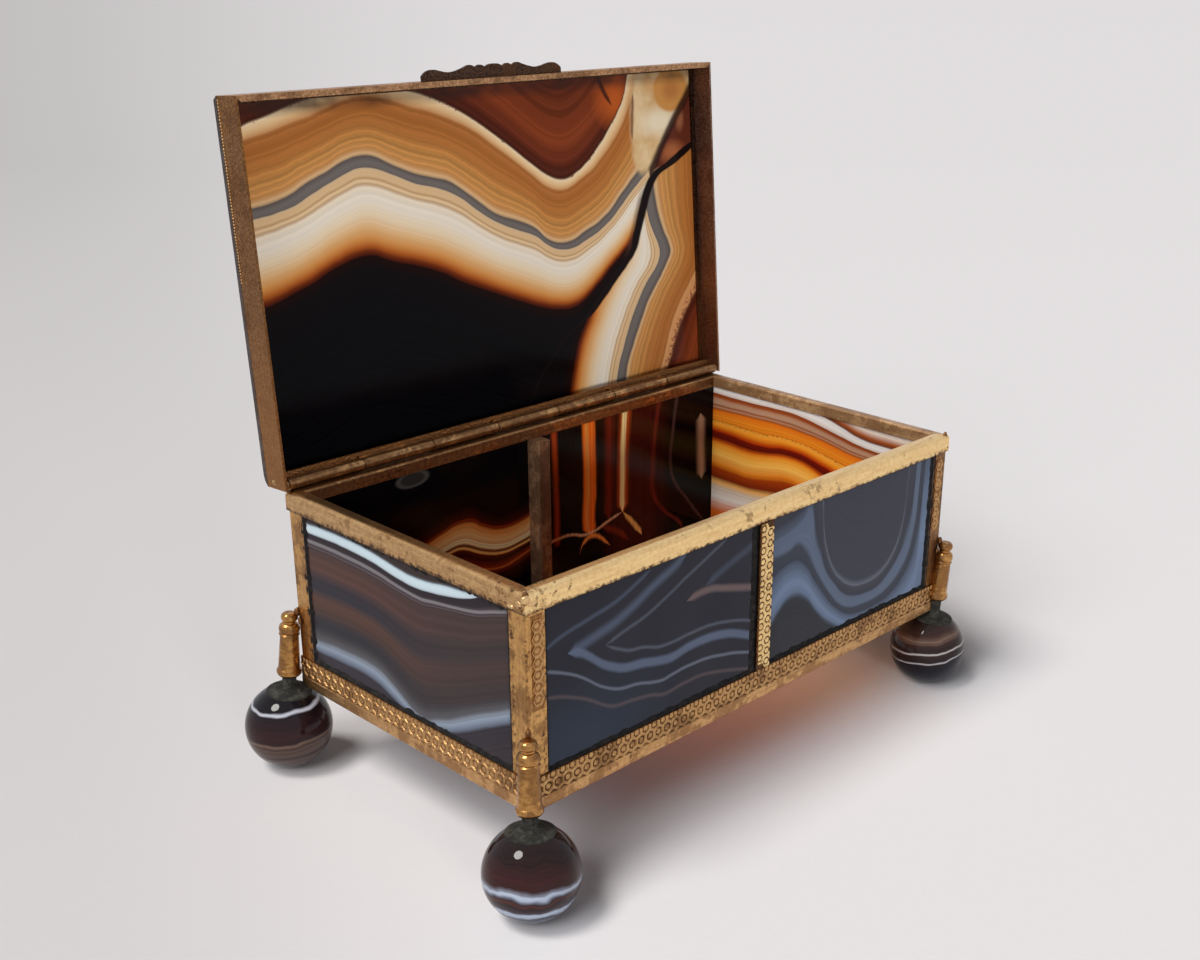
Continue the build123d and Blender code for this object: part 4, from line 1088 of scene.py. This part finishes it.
def right_end_inside(w, p):
    x, y, z = wobble(w, p, 0.2, 5.0)
    s = w.times(y, -1.0)
    value = stack(w, s, z, RIGHT_END, 20.0, 60.0)
    colour = w.ramp(value, RIGHT_END_STONE, -1.0, 7.2)
    colour = layers(w, colour, value, 0.07, 0.12)
    beads = w.noise(p, 0.5, detail=2.0)
    row = w.times(w.fit(w.apart(value, BEADED_LAYER), 0.1, 0.02), w.fit(beads, 0.5, 0.6))
    return w.mix(w.times(row, 0.6), colour, tone(120, 62, 20))


right_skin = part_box("stone_right")[1][0] / MM - OUTER_STEP
plate("right", 0, right_skin, True, dark_outside(38.0), right_end_inside)
print("right end plate:", len(RIGHT_END_STONE), "tones")

# %% [markdown]
# The floor plate hardly shows, but light falls through the open box and through it onto the paper, and
# leaves a warm glow under the box. A share of translucent shader does that, more and paler to the right.


# %% Floor plate
def floor_glow(w, p):
    """The tint and the share of the light that comes through at each place."""
    x = w.split(p)[0]
    colour = w.mix(w.fit(x, 0.0, 50.0), tone(255, 172, 92), tone(255, 226, 196))
    return colour, w.fit(x, -35.0, 45.0, 0.22, 0.8)


floor_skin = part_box("stone_floor")[1][2] / MM - OUTER_STEP
plate("floor", 2, floor_skin, False, dark_outside(20.0), amber_inside(20.0), floor_glow)
print("plates painted:", len(node_names("stone_")))

# %% [markdown]
# ## Four agate balls
# A turned ball shows its layers as rings. Each ball has its own ramp, read along a tilted axis through its
# centre, with a little noise so that the rings sway.

# %% Balls
NEAR_BALL = bands((0.0, 24, 22, 30), (0.1, 46, 48, 60), (0.16, 84, 90, 106), (0.2, 36, 32, 40),
                  (0.235, 140, 150, 168), (0.265, 160, 172, 190), (0.3, 54, 44, 52), (0.36, 32, 21, 24),
                  (0.39, 66, 34, 30), (0.42, 40, 22, 24), (0.45, 112, 118, 134), (0.485, 158, 168, 184),
                  (0.51, 98, 98, 110), (0.55, 42, 20, 19), (0.65, 48, 20, 18), (0.8, 31, 15, 15),
                  (1.0, 26, 17, 16))
SIDE_BALL = bands((0.0, 44, 37, 38), (0.1, 72, 62, 58), (0.25, 68, 54, 50), (0.29, 42, 29, 28),
                  (0.32, 74, 58, 52), (0.45, 66, 50, 46), (0.475, 92, 72, 62), (0.5, 34, 19, 20),
                  (0.56, 40, 20, 22), (0.7, 31, 16, 19), (0.8, 24, 16, 20), (0.815, 150, 152, 162),
                  (0.83, 150, 152, 162), (0.845, 16, 12, 16), (1.0, 13, 10, 14))
FAR_BALL = bands((0.0, 12, 14, 23), (0.2, 20, 23, 35), (0.4, 15, 14, 21), (0.466, 22, 17, 21),
                 (0.474, 150, 146, 148), (0.486, 150, 146, 148), (0.496, 28, 19, 20), (0.59, 38, 25, 23),
                 (0.602, 156, 150, 148), (0.614, 156, 150, 148), (0.626, 30, 20, 20), (0.72, 48, 32, 28),
                 (0.78, 102, 80, 68), (0.82, 56, 36, 30), (0.9, 40, 26, 23), (1.0, 30, 22, 20))
BALL_LOOKS = {"front_left": (NEAR_BALL, (0.06, 0.05), 1.8), "back_left": (SIDE_BALL, (-0.06, 0.03), 0.7),
              "front_right": (FAR_BALL, (-0.12, 0.06), 0.7), "back_right": (SIDE_BALL, (0.08, -0.1), 0.7)}


def ball_agate(corner):
    """The rings of one ball around its own centre."""
    stops, (lean_x, lean_y), waviness = BALL_LOOKS[corner]
    low, high = (Vector(v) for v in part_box("ball_" + corner))
    radius = (high.z - low.z) / 2 / MM
    w = Wiring("agate_ball_" + corner)
    p = w.place((low + high) / 2 / MM)
    x, y, z = w.split(p)
    sway = w.math("MULTIPLY_ADD", w.noise(p, 6.0, detail=2.0), 2 * waviness, -waviness)
    tilted = w.plus(w.plus(z, w.times(x, lean_x)), w.times(y, lean_y))
    value = w.fit(w.plus(tilted, sway), -radius, radius)
    colour = layers(w, w.ramp(value, stops), value, 0.03, 0.25)
    wear("ball_" + corner, w.finish(colour, 0.05, 0.0, w.noise(p, 1.0, detail=3.0), 0.004, specular=0.24))


for corner in BALL_LOOKS:
    ball_agate(corner)
print("balls painted:", len(BALL_LOOKS))

# %% [markdown]
# ## Putty and cement
# Both are rough and dull, dark grey with paler crumbs, so one recipe makes both at two sizes of lump.


# %% Fillings
def filling(name, dark, pale, size):
    """A dull crumbly material with lumps of a size in mm."""
    w = Wiring(name)
    p = w.place()
    lumps = w.noise(p, size, detail=6.0, rough=0.7)
    crumbs = w.noise(p, size * 0.25, detail=3.0, rough=0.6)
    colour = w.mix(w.fit(lumps, 0.45, 0.75), dark, pale)
    return w.finish(colour, 0.85, 0.0, w.plus(lumps, w.times(crumbs, 0.4)), 0.25, specular=0.25)


putty = filling("putty", tone(20, 19, 20), tone(52, 48, 44), 1.2)
cement = filling("cement", tone(37, 37, 34), tone(82, 81, 74), 1.6)
for name in node_names("putty_"):
    wear(name, putty)
for name in node_names("cement_"):
    wear(name, cement)
print("fillings on", len(node_names("putty_", "cement_")), "nodes")

# %% [markdown]
# ## Stamped honeycomb
# The gallery strip came off a roll of stamped brass: thin raised walls in a honeycomb, with a low button in
# each cell. One cell is modelled, and Geometry Nodes repeats it along the strip in staggered rows. The cell
# has only a few dozen faces, because it is repeated hundreds of times.

# %% One stamped cell
PITCH = 2.25
ROW_STEP = PITCH * math.sqrt(3) / 2
CELL_REACH = PITCH / math.sqrt(3)
WALL_HIGH = 0.2
SUNK = 0.05
WALL_HALF = 0.17
WALL_FOOT = 0.4
BUTTON = 0.6
WALL_RINGS = [(CELL_REACH, -SUNK), (CELL_REACH, WALL_HIGH), (CELL_REACH - WALL_HALF, WALL_HIGH),
              (CELL_REACH - WALL_FOOT, 0.0), (CELL_REACH - WALL_FOOT, -SUNK)]
BUTTON_RINGS = [(BUTTON, -SUNK), (BUTTON, 0.04), (BUTTON * 0.6, 0.16)]


def six_sided(shape, radius, height, turned):
    """Six corners at a radius and a height in mm, the first one turned by so many degrees."""
    ring = []
    for k in range(6):
        angle = math.radians(turned + 60 * k)
        spot = (radius * math.cos(angle) * MM, radius * math.sin(angle) * MM, height * MM)
        ring.append(shape.verts.new(spot))
    return ring


def skin(shape, rings):
    """Faces between each closed ring of corners and the next."""
    for here, there in zip(rings, rings[1:]):
        for k in range(len(here)):
            j = (k + 1) % len(here)
            shape.faces.new((here[k], here[j], there[j], there[k]))


def stamped_cell(name, material):
    """A six-sided wall with a button inside, lying flat, closed underneath."""
    cell = bmesh.new()
    wall = [six_sided(cell, radius, height, 30) for radius, height in WALL_RINGS]
    skin(cell, wall + wall[:1])
    button = [six_sided(cell, radius, height, 0) for radius, height in BUTTON_RINGS]
    skin(cell, button)
    cell.faces.new(button[-1])
    cell.faces.new(list(reversed(button[0])))
    bmesh.ops.recalc_face_normals(cell, faces=cell.faces)
    mesh = bpy.data.meshes.new(name)
    cell.to_mesh(mesh)
    cell.free()
    mesh.materials.append(material)
    return bpy.data.objects.new(name, mesh)


cell_pattern = stamped_cell("stamped_cell", strip)
print("stamped cell:", len(cell_pattern.data.polygons), "faces")

# %% [markdown]
# A node tree lays the cells. A line of points gives one dot per cell; each dot's number, divided by the
# cells in a row, is its row, and the remainder is its place in the row. Odd rows move half a pitch. The
# counts and spacings are inputs, so the same tree dresses every strip on the box, and lays the beads as well.


# %% The tree that lays the cells
def honeycomb_tree():
    """Rows of cells in the XY plane: counts, pitch and row step are inputs."""
    tree = bpy.data.node_groups.new("lay_honeycomb", "GeometryNodeTree")
    face = tree.interface
    face.new_socket("Geometry", in_out="INPUT", socket_type="NodeSocketGeometry")
    for name, kind in (("Cells", "Int"), ("Rows", "Int"), ("Pitch", "Float"), ("Row step", "Float"),
                       ("Cell", "Object"), ("Finish", "Material")):
        face.new_socket(name, in_out="INPUT", socket_type="NodeSocket" + kind)
    face.new_socket("Geometry", in_out="OUTPUT", socket_type="NodeSocketGeometry")
    nodes, links = tree.nodes, tree.links
    given = nodes.new("NodeGroupInput").outputs
    result = nodes.new("NodeGroupOutput").inputs

    def add(kind, *values, **settings):
        node = nodes.new(kind)
        for key, value in settings.items():
            setattr(node, key, value)
        for socket, value in zip([s for s in node.inputs if s.enabled], values):
            if isinstance(value, bpy.types.NodeSocket):
                links.new(value, socket)
            elif value is not None:
                socket.default_value = value
        return node

    total = add("ShaderNodeMath", given["Cells"], given["Rows"], operation="MULTIPLY").outputs[0]
    dots = add("GeometryNodeMeshLine", total).outputs[0]
    index = add("GeometryNodeInputIndex").outputs[0]
    row = add("ShaderNodeMath", add("ShaderNodeMath", index, given["Cells"], operation="DIVIDE").outputs[0],
              operation="FLOOR").outputs[0]
    column = add("ShaderNodeMath", index, given["Cells"], operation="MODULO").outputs[0]
    odd = add("ShaderNodeMath", row, 2.0, operation="MODULO").outputs[0]
    half = add("ShaderNodeMath", odd, 0.5, operation="MULTIPLY").outputs[0]
    spot = add("ShaderNodeMath", column, half, operation="ADD").outputs[0]
    x = add("ShaderNodeMath", spot, given["Pitch"], operation="MULTIPLY").outputs[0]
    y = add("ShaderNodeMath", row, given["Row step"], operation="MULTIPLY").outputs[0]
    where = add("ShaderNodeCombineXYZ", x, y, 0.0).outputs[0]
    placed = add("GeometryNodeSetPosition", dots, True, where).outputs[0]
    pattern = nodes.new("GeometryNodeObjectInfo")
    links.new(given["Cell"], pattern.inputs["Object"])
    laid = nodes.new("GeometryNodeInstanceOnPoints")
    links.new(placed, laid.inputs["Points"])
    links.new(pattern.outputs["Geometry"], laid.inputs["Instance"])
    real = add("GeometryNodeRealizeInstances", laid.outputs[0]).outputs[0]
    done = nodes.new("GeometryNodeSetMaterial")
    links.new(real, done.inputs["Geometry"])
    links.new(given["Finish"], done.inputs["Material"])
    links.new(done.outputs[0], result[0])
    return tree


def run_tree(name, tree, values):
    """A plain mesh from a tree: the inputs are set by their identifiers before anything is evaluated."""
    empty = bpy.data.objects.new(name, bpy.data.meshes.new(name))
    scene.collection.objects.link(empty)
    layer = empty.modifiers.new("lay", "NODES")
    layer.node_group = tree
    for item in tree.interface.items_tree:
        if item.in_out == "INPUT" and item.name in values:
            layer[item.identifier] = values[item.name]
    graph = bpy.context.evaluated_depsgraph_get()
    mesh = bpy.data.meshes.new_from_object(empty.evaluated_get(graph))
    bpy.data.objects.remove(empty)
    mesh.name = name
    return mesh


laying = honeycomb_tree()
print("honeycomb tree:", len(laying.nodes), "nodes")

# %% [markdown]
# Each strip takes a flat sheet of cells, cut to its length and to the strip's plain borders, and turned so
# that the sheet faces outward. The posts carry one column on one leg, on a ground of their own.

# %% Dress the strips
FIRST_ROW_UP = -0.35
SELVAGE = 0.12
MULLION_SELVAGE = 0.25
END_SELVAGE = 0.1
POST_COLUMN = (36.5, 54.0)
POST_COLUMN_IN = 2.4
POST_GROUND_WIDE, POST_GROUND_THICK = 2.5, 0.06
SIDES = {"front": (1, 0, 0), "back": (-1, 0, 0), "left": (0, -1, 0), "right": (0, 1, 0)}
UP = Vector((0, 0, 1))


def join_in(name, mesh, body):
    """Puts a finished mesh into the scene as a piece that rides on a body."""
    piece = bpy.data.objects.new(name, mesh)
    scene.collection.objects.link(piece)
    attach(piece, body)
    return piece


def axes(along, up):
    """The turn that lays pattern X along one direction and pattern Y along another, facing outward."""
    a, u = Vector(along), Vector(up)
    return Matrix((a, u, a.cross(u))).transposed().to_4x4()


def trim_off(shape, normal, point):
    """Cuts away what lies beyond a point in mm, and closes the cut."""
    everything = shape.verts[:] + shape.edges[:] + shape.faces[:]
    cut = bmesh.ops.bisect_plane(shape, geom=everything, dist=1e-7, plane_co=Vector(point) * MM,
                                 plane_no=normal, clear_outer=True)
    edges = [e for e in cut["geom_cut"] if isinstance(e, bmesh.types.BMEdge)]
    bmesh.ops.holes_fill(shape, edges=edges)


def stamp(name, turn, origin, long, rows, finish, trim):
    """Honeycomb on one strip: turn lays the flat pattern on it, trim is (low, high) across the rows in mm."""
    cells = int(long / PITCH)
    margin = (long - cells * PITCH) / 2 + (PITCH / 4 if rows > 1 else PITCH / 2)
    mesh = run_tree(name, laying, {"Cells": cells, "Rows": rows, "Pitch": PITCH * MM,
                                   "Row step": ROW_STEP * MM, "Cell": cell_pattern, "Finish": finish})
    mesh.transform(Matrix.Translation((margin * MM, 0, 0)))
    shape = bmesh.new()
    shape.from_mesh(mesh)
    trim_off(shape, (0, -1, 0), (0, trim[0], 0))
    trim_off(shape, (0, 1, 0), (0, trim[1], 0))
    trim_off(shape, (-1, 0, 0), (END_SELVAGE, 0, 0))
    trim_off(shape, (1, 0, 0), (long - END_SELVAGE, 0, 0))
    shape.transform(turn)
    shape.transform(Matrix.Translation(Vector(origin) * MM))
    bmesh.ops.recalc_face_normals(shape, faces=shape.faces)
    shape.to_mesh(mesh)
    shape.free()
    return join_in(name, mesh, "casket")


pieces = []
for side, along in SIDES.items():
    low, high = corners_of("gallery_" + side)
    a = Vector(along)
    axis = 0 if abs(a.x) else 1
    outward = a.cross(UP)
    flat = 1 - axis
    start = Vector((0, 0, low.z + FIRST_ROW_UP))
    start[axis] = (low if a[axis] > 0 else high)[axis]
    start[flat] = (high if outward[flat] > 0 else low)[flat]
    pieces.append(stamp("stamped_gallery_" + side, axes(a, UP), start, (high - low)[axis], 3,
                        strip, (SELVAGE - FIRST_ROW_UP, high.z - low.z - SELVAGE - FIRST_ROW_UP)))
for side in ("front", "back"):
    low, high = corners_of("mullion_strip_" + side)
    across = -Vector(SIDES[side])
    face = low.y if side == "front" else high.y
    half = (high.x - low.x) / 2
    start = Vector((0, face, low.z)) - across * ROW_STEP / 2
    trim = (ROW_STEP / 2 - half + MULLION_SELVAGE, ROW_STEP / 2 + half - MULLION_SELVAGE)
    pieces.append(stamp("stamped_mullion_" + side, axes(UP, across), start,
                        high.z - low.z, 2, bright_strip, trim))
column_long = POST_COLUMN[1] - POST_COLUMN[0]
ground_size = Vector((POST_GROUND_WIDE, POST_GROUND_THICK, column_long)) * MM
post_grounds = bmesh.new()
for name in node_names("post_"):
    low, high = corners_of(name)
    front_row = "front" in name
    across = -Vector(SIDES["front" if front_row else "back"])
    outer = low.x if "left" in name else high.x
    middle = outer - math.copysign(POST_COLUMN_IN, outer)
    face = low.y if front_row else high.y
    pieces.append(stamp("stamped_" + name, axes(UP, across), (middle, face, POST_COLUMN[0]),
                        column_long, 1, strip, (-POST_GROUND_WIDE / 2, POST_GROUND_WIDE / 2)))
    centre = Matrix.Translation(Vector((middle, face, sum(POST_COLUMN) / 2)) * MM)
    bmesh.ops.create_cube(post_grounds, matrix=centre @ Matrix.Diagonal(ground_size.to_4d()))
bmesh.ops.recalc_face_normals(post_grounds, faces=post_grounds.faces)
ground_mesh = bpy.data.meshes.new("stamped_post_grounds")
post_grounds.to_mesh(ground_mesh)
post_grounds.free()
ground_mesh.materials.append(post_ground)
join_in("stamped_post_grounds", ground_mesh, "casket")
print("stamped pieces:", len(pieces), "faces:", sum(len(o.data.polygons) for o in pieces))

# %% [markdown]
# ## Solder that squeezed out
# Hand work leaves lumps. A lump is a small ball pushed out of shape by noise and sunk into the joint, so
# each row below is a place and three half-widths in millimetres. Bright ones sit on the near corner, dark
# ones at every corner of the rim and beside the top of each colonette.

# %% Lumps of solder
RIM_TOP = 58.4
RIM_LUMP_STEP = 1.4
LUMP_ROUGH = 0.35
CORNER_SPOTS = [((-59.6, -34.0, 57.4), (0.9, 0.5, 0.9)), ((-58.2, -34.1, 56.4), (1.1, 0.35, 0.5)),
                ((-56.2, -34.1, 55.6), (0.8, 0.3, 0.45)), ((-59.9, -32.6, 56.3), (0.3, 0.9, 0.6)),
                ((-59.9, -30.6, 55.3), (0.3, 1.0, 0.4)), ((-58.8, -33.2, RIM_TOP - 0.1), (0.9, 0.7, 0.3)),
                ((-59.4, -33.9, 55.2), (0.7, 0.45, 0.4)), ((-53.4, -34.1, 55.2), (0.7, 0.25, 0.35))]
FOOT_SPOTS = [((59.8, 34.0, 0.1), (0.6, 0.6, 0.9)), ((60.0, 33.0, -1.6), (0.25, 0.5, 0.8)),
              ((58.8, 34.2, -1.8), (0.5, 0.25, 0.8))]


def piece_from(name, shape, finish, body):
    """Turns a closed bmesh in metres into a piece that rides on a body."""
    bmesh.ops.recalc_face_normals(shape, faces=shape.faces)
    mesh = bpy.data.meshes.new(name)
    shape.to_mesh(mesh)
    shape.free()
    mesh.materials.append(finish)
    for face in mesh.polygons:
        face.use_smooth = True
    return join_in(name, mesh, body)


def lumps(name, spots, finish, body="casket", slot="gilt_brass"):
    """Balls pushed out of shape, as one piece: spots are (centre, half-widths) in mm."""
    shape = bmesh.new()
    for turn, (centre, wide) in enumerate(spots):
        ball = bmesh.ops.create_icosphere(shape, subdivisions=2, radius=1.0)
        for vert in ball["verts"]:
            push = 1.0 + LUMP_ROUGH * noise.noise(vert.co * 1.6 + Vector((turn * 3.7, 0, 0)))
            vert.co = (Vector(centre) + Vector(a * b for a, b in zip(vert.co * push, wide))) * MM
    return piece_from(name, shape, finish, body)


solder = brass("solder", light=PALE_GOLD, body=GOLD, filmed=0.4, grime=0.25)
dark_solder = brass("dark_solder", light=OLD_GOLD, body=TARNISH, filmed=0.8, grime=0.7)
lumps("solder_near_corner", CORNER_SPOTS, solder)
random.seed(7)
rim_spots = []
for sx in (-1, 1):
    for sy in (-1, 1):
        for turn in range(3):
            centre = (sx * (59.7 - random.random()), sy * (33.9 - 0.8 * random.random()),
                      RIM_TOP - 0.2 - RIM_LUMP_STEP * turn)
            rim_spots.append((centre, (0.5, 0.5, 0.3 + 0.3 * random.random())))
lumps("solder_corners", rim_spots, dark_solder)
foot_spots = []
for name in node_names("colonette_"):
    low, high = corners_of(name)
    middle = (low + high) / 2
    sx, sy = (1 if v > 0 else -1 for v in middle[:2])
    for (x, y, up), wide in FOOT_SPOTS:
        foot_spots.append(((sx * x, sy * y, high.z + up), wide))
lumps("solder_colonettes", foot_spots, dark_solder, slot="turned_brass")
print("solder lumps:", len(CORNER_SPOTS) + len(rim_spots) + len(foot_spots))

# %% [markdown]
# ## Putty that squeezed out
# Each plate is bedded in dark putty, which shows as a ragged wedge round its edge. A fillet is a five-sided
# profile carried along the edge, as wide at each step as a smooth noise says. It is thin along most edges,
# and broad at the right edge of both front plates. There, and along the feet, the wedge is partly putty and
# partly a painted reflection: the dark band that the bevelled stone edges show.

# %% Ragged fillets of putty
FILLET_STEP = 0.5
FILLET_ROOT = -0.2
# BROAD and FOOT are partly putty and partly a painted reflection of the bevelled stone edges.
SLIM, BROAD, RAGGED = (0.15, 0.45), (1.1, 1.45), (0.2, 1.6)
FOOT, HEAD, LEFT_HEAD = (0.5, 1.1), (0.1, 0.5), (0.4, 1.3)
STONE_SHOWS = (23.9, 54.6)
LONG_FACE, END_FACE = 33.45, 59.25
BAR_HALF, POST_EDGE, END_EDGE = 2.0, 55.8, 30.0
X, Y = Vector((1, 0, 0)), Vector((0, 1, 0))


def fillet(shape, start, end, inward, outward, widths, seed):
    """A ragged wedge of putty along one edge of a plate; widths are (least, most) on the stone, in mm."""
    steps = max(2, int((end - start).length / FILLET_STEP))
    rings = []
    for k in range(steps + 1):
        spot = start.lerp(end, k / steps)
        swing = 0.5 + 0.9 * noise.fractal(spot * 0.45 + Vector((seed, 0, 0)), 0.6, 2.0, 4)
        wide = widths[0] + (widths[1] - widths[0]) * min(max(swing, 0.0), 1.0)
        thick = 0.12 + 0.3 * wide
        profile = [(0.0, FILLET_ROOT), (0.0, thick), (0.45 * wide, 0.5 * thick), (wide, -0.02),
                   (wide, FILLET_ROOT)]
        rings.append([shape.verts.new((spot + inward * a + outward * b) * MM) for a, b in profile])
    skin(shape, rings)
    shape.faces.new(rings[0])
    shape.faces.new(list(reversed(rings[-1])))


def putty_round(name, along, out, face, spans, head=HEAD):
    """Fillets round each plate in one wall. spans are ((low, high), widths at low and high)."""
    shape = bmesh.new()
    low_z, high_z = STONE_SHOWS
    for turn, ((low, high), low_wide, high_wide) in enumerate(spans):
        low_foot, low_head, high_foot, high_head = (out * face + along * s + UP * z
                                                    for s in (low, high) for z in (low_z, high_z))
        fillet(shape, low_foot, low_head, along, out, low_wide, turn + 1.0)
        fillet(shape, high_foot, high_head, -along, out, high_wide, turn + 5.0)
        fillet(shape, low_foot, high_foot, UP, out, FOOT, turn + 9.0)
        fillet(shape, low_head, high_head, -UP, out, head, turn + 13.0)
    return piece_from(name, shape, putty, "casket")


long_spans = ((-POST_EDGE, -BAR_HALF), (BAR_HALF, POST_EDGE))
end_span = (-END_EDGE, END_EDGE)
putty_round("putty_bead_front", X, -Y, LONG_FACE, [(span, SLIM, BROAD) for span in long_spans])
putty_round("putty_bead_back", X, Y, LONG_FACE, [(span, SLIM, SLIM) for span in long_spans])
putty_round("putty_bead_left", Y, -X, END_FACE, [(end_span, SLIM, RAGGED)], LEFT_HEAD)
putty_round("putty_bead_right", Y, X, END_FACE, [(end_span, SLIM, SLIM)])
print("putty fillets on four walls")

# %% [markdown]
# ## Cement on the balls
# A colonette's foot is set in dark cement, smeared over the top of its ball. The CAD model has the neck of
# it. The smear is a shell on the ball's own radius, swollen near the neck, rough, with an uneven edge.

# %% Cement caps
CAP_AROUND, CAP_DOWN = 28, 8
CAP_NECK = math.radians(9)
CAP_EDGE, CAP_RAGGED = 24, 8
CAP_SWELL, CAP_ROUGH, CAP_SUNK = 0.55, 0.35, 0.12


def cement_cap(corner, seed):
    """A rough cap over the top of one ball, sunk into it underneath."""
    low, high = corners_of("ball_" + corner)
    radius = (high.z - low.z) / 2
    centre = Vector(((low.x + high.x) / 2, (low.y + high.y) / 2, high.z - radius))
    shape = bmesh.new()
    rows = []
    for j in range(CAP_DOWN + 1):
        row = []
        for k in range(CAP_AROUND):
            turn = 2 * math.pi * k / CAP_AROUND
            uneven = noise.noise(Vector((math.cos(turn) * 1.7, math.sin(turn) * 1.7, seed)))
            edge = math.radians(CAP_EDGE + CAP_RAGGED * uneven)
            lean = CAP_NECK + (edge - CAP_NECK) * j / CAP_DOWN
            way = Vector((math.sin(lean) * math.cos(turn), math.sin(lean) * math.sin(turn), math.cos(lean)))
            bumpy = CAP_ROUGH * noise.noise(way * 9.0 + Vector((seed, seed, 0)))
            swell = CAP_SWELL * (1 - (j / CAP_DOWN) ** 2) + bumpy if j < CAP_DOWN else -CAP_SUNK
            row.append(shape.verts.new((centre + way * (radius + swell)) * MM))
        rows.append(row)
    skin(shape, rows)
    shape.faces.new(rows[0])
    shape.faces.new(list(reversed(rows[-1])))
    return piece_from("cement_cap_" + corner, shape, cement, "casket")


for turn, corner in enumerate(BALL_LOOKS):
    cement_cap(corner, turn * 2.3)
print("cement caps:", len(BALL_LOOKS))

# %% [markdown]
# ## Beads and solder on the lid
# A row of tiny beads runs along the outside of the lid's left wall, and the lid's two hinge corners carry
# bright lumps of solder. Both are laid in place as when the lid is shut and then swung open with it.

# %% Beads on the lid
BEAD_RADIUS = 0.17
BEAD_STEP = 0.55
BEAD_LINE = (-35.8, -3.0)
BEAD_HEIGHT = 64.3
LID_SPOTS = [((60.3, 33.4, 62.4), (0.6, 1.4, 0.9)), ((60.0, 32.6, 64.6), (0.7, 0.9, 0.7)),
             ((-60.3, 33.6, 62.2), (0.5, 1.2, 0.8))]
swing_open = (Matrix.Translation(HINGE * MM) @ Matrix.Rotation(-OPEN_ANGLE, 4, "X")
              @ Matrix.Translation(-HINGE * MM))


def bead_pattern(name, material):
    """One small bead for the tree to repeat."""
    bead = bmesh.new()
    bmesh.ops.create_icosphere(bead, subdivisions=1, radius=BEAD_RADIUS * MM)
    mesh = bpy.data.meshes.new(name)
    bead.to_mesh(mesh)
    bead.free()
    mesh.materials.append(material)
    return bpy.data.objects.new(name, mesh)


bead_gold = brass("bead_gold", light=tone(255, 214, 140), body=GOLD, filmed=0.2, grime=0.1)
small_bead = bead_pattern("lid_small_bead", bead_gold)
count = int((BEAD_LINE[1] - BEAD_LINE[0]) / BEAD_STEP)
bead_mesh = run_tree("beads_lid_left", laying, {"Cells": count, "Rows": 1, "Pitch": BEAD_STEP * MM,
                                                "Row step": BEAD_STEP * MM, "Cell": small_bead,
                                                "Finish": bead_gold})
line_start = Vector((corners_of("lid_wall_left")[0].x, BEAD_LINE[0], BEAD_HEIGHT)) * MM
bead_mesh.transform(swing_open @ Matrix.Translation(line_start) @ axes((0, 1, 0), (0, 0, 1)))
join_in("beads_lid_left", bead_mesh, "lid")
open_spots = [(swing_open @ (Vector(centre) * MM) / MM, wide) for centre, wide in LID_SPOTS]
lumps("solder_lid_corners", open_spots, solder, body="lid", slot="lid_brass")
print("beads on the lid:", count)
